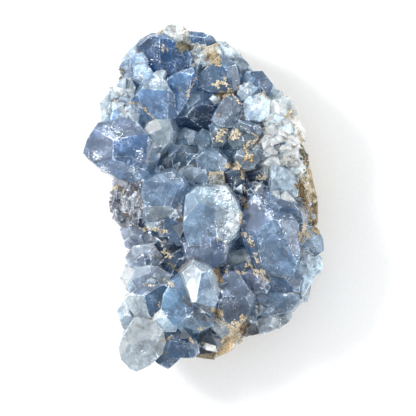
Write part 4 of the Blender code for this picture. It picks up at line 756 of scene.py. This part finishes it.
def paint_faces(bm, names, group):
    """Gives each face its crystal's tint and clarity. The tint runs straight from the near to
    the far colour across the crystal, and a facet with a tint of its own takes that instead."""
    order = ["clear", "milky", "frosted", "marl"]
    middles = {}
    for face in bm.faces:
        middles.setdefault(group[face.index], []).append(face.calc_center_median()[:])
    loose = {}
    for number, places in middles.items():
        middle = np.mean(places, axis=0)
        tint = small_tint(middle[None])[0]
        near = np.append(tint * chance.uniform(0.8, 1.0), 1.0)
        far = np.append(tint * chance.uniform(1.0, 1.2), 1.0)
        loose[number] = (*((middle / MM - SHIFT).tolist()), near, far, chance.uniform(0, 360),
                         "milky" if near[0] > 0.35 else "clear")
    layer = bm.loops.layers.float_color.new("tint")
    own = bm.loops.layers.float_vector.new("own")
    dull = bm.faces.layers.float.new("dull")
    softbox_way = Vector((-0.348, 0.140, 0.927))
    frames = {}
    for face in bm.faces:
        name = names[face.index]
        key = name or group[face.index]
        if key not in frames:
            turn = Matrix.Rotation(chance.uniform(0, 2 * math.pi), 3, "Z")
            lean = Matrix.Rotation(chance.uniform(0.2, 1.2), 3, "X")
            frames[key] = (lean @ turn, Vector(chance.uniform(0.1, 0.9, 3)))
        row = CRYSTAL_TINTS[name] if name else loose[group[face.index]]
        x, y, z, near, far, turn, clarity = row
        if name:
            shown = linear if clarity == "marl" else soft
            near, far = np.array(shown(near)), np.array(shown(far))
        near, far = near * chance.uniform(0.9, 1.08), far * chance.uniform(0.92, 1.1)
        top = (Vector((x, y, z)) + Vector(SHIFT)) * MM
        way = Vector((math.cos(math.radians(turn)), math.sin(math.radians(turn)), 0))
        downhill = math.degrees(math.atan2(face.normal.y, face.normal.x)) % 360
        clean = any(name == n and abs(downhill - d) < 7 for n, d in MIRRORS)
        facing = min(max((face.normal.dot(softbox_way) - 0.94) / 0.02, 0), 1)
        face[dull] = 0 if clean else facing
        turn_own, offset = frames[key]
        for direction, code in FACET_TINTS.get(name, {}).items():
            off = abs((downhill - direction + 180) % 360 - 180)
            if off < 7 and face.normal.z > 0.4:
                facet = 0.75 * soft(code) + 0.125 * (near + far)
                near, far = facet * 0.85, facet * 1.15
        # painted light: steep sides are made a tenth paler, against the shade they stand in
        if face.normal.z < 0.45:
            near, far = near * 1.1, far * 1.1
        face.material_index = order.index("frosted" if clean else clarity)
        for loop in face.loops:
            share = min(max(0.5 + (loop.vert.co - top).dot(way) / (12 * MM), 0), 1)
            loop[layer] = near * (1 - share) + far * share
            loop[own] = turn_own @ (loop.vert.co - top) + offset


def build_crystals(materials):
    """The druse: the solid's own faces, tinted crystal by crystal, cut to under a millimetre and
    moved along their normals: waves of 0.08 mm every 3 mm, ripples of 0.03 mm every 1 mm, and
    chips up to 0.3 mm deep along the ridges."""
    bm = merged_copy("crystal_druse", True)
    bm.faces.ensure_lookup_table()
    bm.faces.index_update()
    group = crystal_groups(bm)
    names = name_faces(bm, group)
    print("crystals without a face:", sorted(set(CRYSTAL_TINTS) - set(names)))
    paint_faces(bm, names, group)
    joined = [e for e in bm.edges if e.is_contiguous]
    ridges = along_edges([e for e in joined if e.calc_face_angle_signed(0.0) > 0.15], 0.3 * MM)
    valleys = along_edges([e for e in joined if e.calc_face_angle_signed(0.0) < -0.1], 0.3 * MM)
    refine(bm, 1.3 * MM, 0.5 * MM)
    mesh = bpy.data.meshes.new("celestite_crystals")
    bm.to_mesh(mesh)
    bm.free()
    count = len(mesh.vertices)
    points = np.empty(count * 3)
    mesh.vertices.foreach_get("co", points)
    points = points.reshape(-1, 3)
    normals = np.empty(count * 3)
    mesh.vertex_normals.foreach_get("vector", normals)
    normals = normals.reshape(-1, 3)
    ridge = distance_to(points, ridges)
    valley = distance_to(points, valleys)
    wave = 0.16 * (lattice_noise(points, 0.003, 21) - 0.5)
    wave += 0.07 * (lattice_noise(points, 0.0011, 22) - 0.5)
    chip = np.clip(1 - ridge / 0.6, 0, 1) * np.clip(3.0 * lattice_noise(points, 0.0014, 23) - 1.5,
                                                    0, 1)
    wave = np.minimum(wave, 0.02 + 0.2 * valley) - 0.32 * chip
    share = sugar_share(points)
    sugary = np.flatnonzero(share > 0.05)
    relief = 0.65 * sugar_relief(points[sugary], 1.3 * MM, 41)
    relief += 0.35 * sugar_relief(points[sugary], 0.75 * MM, 42)
    wave[sugary] += share[sugary] * relief
    moved = points + normals * (wave * MM)[:, None]
    moved = np.clip(moved, np.array(cad_box[0]), np.array(cad_box[1]))
    mesh.vertices.foreach_set("co", moved.ravel())
    frost = np.zeros(count)
    plan = points[:, :2] / MM - SHIFT[:2]
    ragged = lattice_noise(points, 0.003, 31) + lattice_noise(points, 0.0012, 32) - 1
    for x, y, reach, strength in FROST:
        away = np.hypot(plan[:, 0] - x, plan[:, 1] - y) / reach + 0.9 * ragged
        frost = np.maximum(frost, strength * np.exp(-np.clip(away, 0, None)**2))
    for name, values in (("to_ridge", ridge), ("to_valley", valley), ("frost", frost)):
        layer = mesh.attributes.new(name, "FLOAT", "POINT")
        layer.data.foreach_set("value", values)
    mesh.update()
    mesh.shade_smooth()
    mesh.set_sharp_from_angle(angle=math.radians(17))
    print("crystal triangles", len(mesh.polygons))
    return new_piece("celestite_crystals", mesh, materials, ["crystal_druse"])


def surface_samples(node, count):
    """Random places on a CAD node, even by area: places, outward normals and heights."""
    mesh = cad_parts[node].data
    points = np.empty(len(mesh.vertices) * 3)
    mesh.vertices.foreach_get("co", points)
    mesh.calc_loop_triangles()
    corners = np.empty(len(mesh.loop_triangles) * 3, dtype=int)
    mesh.loop_triangles.foreach_get("vertices", corners)
    a, b, c = points.reshape(-1, 3)[corners.reshape(-1, 3)].transpose(1, 0, 2)
    across = np.cross(b - a, c - a)
    area = np.linalg.norm(across, axis=1)
    picked = chance.choice(len(area), count, p=area / area.sum())
    u, v = chance.random((2, count, 1))
    over = u + v > 1
    u, v = np.where(over, 1 - u, u), np.where(over, 1 - v, v)
    place = a[picked] + u * (b - a)[picked] + v * (c - a)[picked]
    return place, across[picked] / area[picked][:, None]


def turned(normal, lean, count):
    """A frame of three unit vectors for each normal, its third leaning off the normal by a
    random share of lean, and turned by chance about it."""
    axis = normal + chance.normal(0, lean, (count, 3))
    axis /= np.linalg.norm(axis, axis=1)[:, None]
    side = np.cross(axis, chance.normal(0, 1, (count, 3)))
    side /= np.linalg.norm(side, axis=1)[:, None]
    return np.stack([side, np.cross(axis, side), axis], axis=1)


def scattered(name, shape, faces, place, axes, sizes, colours, wobble):
    """Copies of one small shape as a single mesh: each copy's points are its place plus the
    shape's points times its sizes along its own three axes, each point moved a little."""
    count = len(place)
    local = shape[None] * sizes[:, None] * (1 + chance.normal(0, wobble, (count, len(shape), 1)))
    points = place[:, None] + np.einsum("nij,njk->nik", local, axes)
    low = np.array(cad_box[0]) + 2e-5
    high = np.array(cad_box[1]) - 2e-5
    inside = ((points > low) & (points < high)).all(axis=(1, 2))
    points = points[inside]
    colours = colours[inside]
    count = len(points)
    lengths = np.array([len(f) for f in faces])
    flat = np.concatenate([np.array(f) for f in faces])
    mesh = bpy.data.meshes.new(name)
    mesh.vertices.add(count * len(shape))
    mesh.vertices.foreach_set("co", points.ravel())
    mesh.loops.add(count * len(flat))
    mesh.loops.foreach_set(
        "vertex_index", (flat[None] + np.arange(count)[:, None] * len(shape)).ravel())
    mesh.polygons.add(count * len(faces))
    starts = np.concatenate([[0], np.cumsum(lengths)[:-1]])
    mesh.polygons.foreach_set(
        "loop_start", (starts[None] + np.arange(count)[:, None] * len(flat)).ravel())
    mesh.update(calc_edges=True)
    tint = mesh.color_attributes.new("tint", "FLOAT_COLOR", "POINT")
    full = np.concatenate([colours, np.ones((count, 1))], axis=1)
    tint.data.foreach_set("color", np.repeat(full, len(shape), axis=0).ravel())
    return mesh


# A chisel-tipped crystal: six sides from z -1 to 0.5 and six facets up to a ridge at z 1
RING = [(1.0, 0.0), (0.5, 0.87), (-0.5, 0.87), (-1.0, 0.0), (-0.5, -0.87), (0.5, -0.87)]
CHISEL = np.array([(x, y, -1.0) for x, y in RING] + [(x, y, 0.5) for x, y in RING]
                  + [(0.35, 0.0, 1.0), (-0.35, 0.0, 1.0)])
CHISEL_FACES = [(5, 4, 3, 2, 1, 0), (0, 1, 7, 6), (1, 2, 8, 7), (2, 3, 9, 8), (3, 4, 10, 9),
                (4, 5, 11, 10), (5, 0, 6, 11), (6, 7, 12), (7, 8, 13, 12), (8, 9, 13),
                (9, 10, 13), (10, 11, 12, 13), (11, 6, 12)]


def build_fringe(material):
    """Small crystals grown on the steep sides, sunk most of the way in."""
    place, normal = surface_samples("crystal_druse", 30000)
    z = place[:, 2] / MM
    steep = np.clip((0.3 - normal[:, 2]) * 2, 0, 1) * np.clip((z - 8.5) / 3, 0, 1)
    rim = np.clip((np.hypot(place[:, 0] / 34.8, place[:, 1] / 50.0) / MM - 0.6) / 0.2, 0, 1)
    keep = (chance.random(len(place)) < 0.07 * steep * rim) & (z > 8.8) & (z < 17)
    p, n = place[keep], normal[keep]
    count = len(p)
    wide = chance.uniform(0.4, 1.2, count)
    tall = wide * chance.uniform(0.7, 1.2, count)
    sizes = np.stack([wide, wide * chance.uniform(0.6, 0.95, count), tall], axis=1) * MM
    colours = np.clip(small_tint(p) * chance.uniform(0.6, 1.1, (count, 1)), 0, 1)
    mesh = scattered("fringe_crystals", CHISEL, CHISEL_FACES, p - n * (tall * 0.55 * MM)[:, None],
                     turned(n, 0.35, count), sizes, colours, 0.04)
    print("fringe crystals", len(mesh.vertices) // len(CHISEL))
    new_piece("fringe_crystals", mesh, [material])


def plate_shape():
    """A flat plate: a ring of five points between two low poles."""
    turns = np.arange(5) * 0.4 * math.pi
    ring = np.stack([np.cos(turns), np.sin(turns), np.zeros(5)], axis=1)
    faces = []
    for i in range(5):
        j = (i + 1) % 5
        faces += [(i, j, 5), (j, i, 6)]
    return np.concatenate([ring, [(0, 0, 1), (0, 0, -1)]]), faces


def crumb_shape():
    """A rough crumb: two rings of six points and two poles."""
    turns = np.arange(6) * math.pi / 3
    low = np.stack([np.cos(turns), np.sin(turns), np.full(6, -0.35)], axis=1)
    high = np.stack([0.8 * np.cos(turns + 0.5), 0.8 * np.sin(turns + 0.5), np.full(6, 0.4)],
                    axis=1)
    points = np.concatenate([low, high, [(0, 0, -0.7), (0, 0, 0.75)]])
    faces = []
    for i in range(6):
        j = (i + 1) % 6
        faces += [(i, j, 6 + i), (j, 6 + j, 6 + i), (6 + i, 6 + j, 13), (j, i, 12)]
    return points, faces


def build_marl(material):
    """Marl crumbs and films: flat crumbs laid on the skin along each line of the list, closer
    towards its middle."""
    place, normal = surface_samples("crystal_druse", 146000)
    up = normal[:, 2] > 0.05
    place, normal = place[up], normal[up]
    xy = place[:, :2] / MM - SHIFT[:2]
    ragged = 0.6 * lattice_noise(place, 0.0010, 5) + 0.4 * lattice_noise(place, 0.0004, 6)
    picked = []
    shades = []
    breadth = []
    for x1, y1, x2, y2, half, kind in MARL:
        start = np.array((x1, y1))
        along = np.array((x2, y2)) - start
        share = np.clip(((xy - start) @ along) / max(along @ along, 1e-9), 0, 1)
        away = np.linalg.norm(xy - start - share[:, None] * along, axis=1)
        solid = 0.25 * max(half - 0.5, 0)
        hit = np.flatnonzero(away < half * (2.9 * ragged - 0.62) + solid)
        picked.append(hit)
        breadth.append(np.full(len(hit), half))
        light, dark = (np.array(linear(code)[:3]) for code in MARL_COLOURS[kind])
        mix = chance.random((len(hit), 1)) ** 1.5
        shades.append(light * (1 - mix) + dark * mix)
    picked = np.concatenate(picked)
    shades = np.concatenate(shades)
    breadth = np.concatenate(breadth)
    count = len(picked)
    wide = chance.uniform(0.10, 0.30, count)
    sizes = np.stack([wide, wide * chance.uniform(0.6, 1.0, count),
                      wide * chance.uniform(0.4, 0.8, count)], axis=1) * MM
    shape, faces = crumb_shape()
    mesh = scattered("marl_crumbs", shape, faces, place[picked],
                     turned(normal[picked], 0.25, count), sizes, shades, 0.12)
    print("marl crumbs", len(mesh.vertices) // len(shape))
    new_piece("marl_crumbs", mesh, [material])
    some = chance.random(count) < 0.85
    place, normal, shades = place[picked][some], normal[picked][some], shades[some]
    count = len(place)
    wide = (0.18 + 0.28 * np.minimum(breadth[some], 1.2)) * chance.uniform(0.75, 1.25, count)
    sizes = np.stack([wide, wide * chance.uniform(0.5, 0.9, count),
                      chance.uniform(0.08, 0.16, count)], axis=1) * MM
    shape, faces = plate_shape()
    mesh = scattered("marl_films", shape, faces, place, turned(normal, 0.08, count), sizes,
                     shades * 0.88, 0.15)
    new_piece("marl_films", mesh, [material])


def build_rock(material):
    """The host rock: the solid's faces cut four ways three times over, each point then moved
    in by lumps 6 mm and 1.5 mm across, and not at all on the flat spot it rests on."""
    bm = merged_copy("host_rock", False)
    bmesh.ops.subdivide_edges(bm, edges=bm.edges, cuts=7, use_grid_fill=True)
    bmesh.ops.triangulate(bm, faces=bm.faces)
    mesh = bpy.data.meshes.new("host_rock_stone")
    bm.to_mesh(mesh)
    bm.free()
    count = len(mesh.vertices)
    points = np.empty(count * 3)
    mesh.vertices.foreach_get("co", points)
    points = points.reshape(-1, 3)
    normals = np.empty(count * 3)
    mesh.vertex_normals.foreach_get("vector", normals)
    normals = normals.reshape(-1, 3)
    depth = (0.5 * lattice_noise(points, 0.006, 11) + 0.35 * lattice_noise(points, 0.0022, 12)
             + 0.3 * lattice_noise(points, 0.0009, 13))
    resting = np.clip((points[:, 2] - 0.2 * MM) / (1.2 * MM), 0, 1)
    points -= normals * (depth * resting * 0.9 * MM)[:, None]
    mesh.vertices.foreach_set("co", points.ravel())
    mesh.update()
    print("rock triangles", len(mesh.polygons))
    return new_piece("host_rock_stone", mesh, [material], ["host_rock"])


# The celestite finishes
clear_celestite = celestite("clear_celestite", 0.68, 0.04, 0.55, 0.0015, 0.0042, 0.13, 0.11)
milky_celestite = celestite("milky_celestite", 0.48, 0.08, 0.80, 0.0015, 0.0015, 0.36, 0.14)
frosted_celestite = celestite("frosted_celestite", 0.15, 0.12, 0.9, 0.0015, 0.0009, 0.75, 0.15)
sugary_celestite = sugar("sugary_celestite", 0.12)
crumbly_marl = marl("crumbly_marl")
marly_limestone = host_rock_stone("marly_limestone")

build_crystals([clear_celestite, milky_celestite, frosted_celestite, crumbly_marl])
build_fringe(sugary_celestite)
build_marl(crumbly_marl)
build_rock(marly_limestone)


# The floor, light and camera


def build_floor():
    """A plain pale sheet under the rock."""
    mesh = bpy.data.meshes.new("pale_floor")
    mesh.from_pydata([(-3, -3, 0), (3, -3, 0), (3, 3, 0), (-3, 3, 0)], [], [(0, 1, 2, 3)])
    floor = bpy.data.objects.new("pale_floor", mesh)
    bpy.context.scene.collection.objects.link(floor)
    material, tree, out = new_material("white_card")
    place = add(tree, "TexCoord").outputs["Object"]
    tooth = add(tree, "TexNoise", {"Vector": place, "Scale": 900.0})
    shade = ramp(tree, tooth, [(0.3, 0.93), (0.7, 0.96)])
    shader = add(tree, "BsdfPrincipled", {"Base Color": shade, "Roughness": 0.8})
    tree.links.new(shader.outputs[0], out.inputs["Surface"])
    mesh.materials.append(material)


def softbox(name, turn, rise, away, size, radiance):
    """A square soft light aimed at the crystals from that direction. Its power is radiance
    times pi times its area."""
    data = bpy.data.lights.new(name, "AREA")
    data.shape = "SQUARE"
    data.size = size
    data.energy = radiance * math.pi * size * size
    lamp = bpy.data.objects.new(name, data)
    bpy.context.scene.collection.objects.link(lamp)
    a, e = math.radians(turn), math.radians(rise)
    back = Vector((math.cos(a) * math.cos(e), math.sin(a) * math.cos(e), math.sin(e)))
    lamp.location = Vector((0, 0, 30 * MM)) + back * away
    lamp.rotation_mode = "QUATERNION"
    lamp.rotation_quaternion = back.to_track_quat("Z", "Y")
    return lamp


def build_surroundings():
    """White surroundings: brightest to the upper left, dimmer to the lower right and overhead,
    where the camera would be."""
    world = bpy.data.worlds.new("studio")
    bpy.context.scene.world = world
    world.use_nodes = True
    tree = world.node_tree
    tree.nodes.clear()
    way = add(tree, "TexCoord").outputs["Generated"]
    parts = add(tree, "SeparateXYZ", {0: way})
    left = add(tree, "Math", {0: parts.outputs["X"], 1: -0.28, 2: 1.12}, operation="MULTIPLY_ADD")
    glow = add(tree, "Math", {0: parts.outputs["Y"], 1: 0.28, 2: left}, operation="MULTIPLY_ADD")
    high = ramp(tree, parts.outputs["Z"], [(0.0, 1.0), (0.70, 1.0), (0.98, 0.50)])
    power = add(tree, "Math", {0: glow, 1: high}, operation="MULTIPLY")
    back = add(tree, "Background", {"Color": (0.97, 0.985, 1.0, 1.0), "Strength": power})
    out = tree.nodes.new("ShaderNodeOutputWorld")
    tree.links.new(back.outputs[0], out.inputs["Surface"])


def build_camera():
    """Looks straight down, as the photograph does, from a metre away."""
    data = bpy.data.cameras.new("camera")
    data.sensor_width = 36.0
    data.lens = 36.0 * 970 / 118.86
    camera = bpy.data.objects.new("camera", data)
    camera.location = ((1.0 + SHIFT[0]) * MM, -3.14 * MM, 1.0)
    data.clip_start = 0.05
    data.clip_end = 20
    bpy.context.scene.collection.objects.link(camera)
    bpy.context.scene.camera = camera


build_floor()
build_surroundings()
softbox("upper_left_softbox", 158, 46, 0.55, 0.14, 36.0)
softbox("right_fill", -15, 35, 0.70, 0.35, 3.6)
build_camera()

scene = bpy.context.scene
scene.view_settings.view_transform = "Standard"
scene.cycles.max_bounces = 14
scene.cycles.transmission_bounces = 12
scene.cycles.use_denoising = True
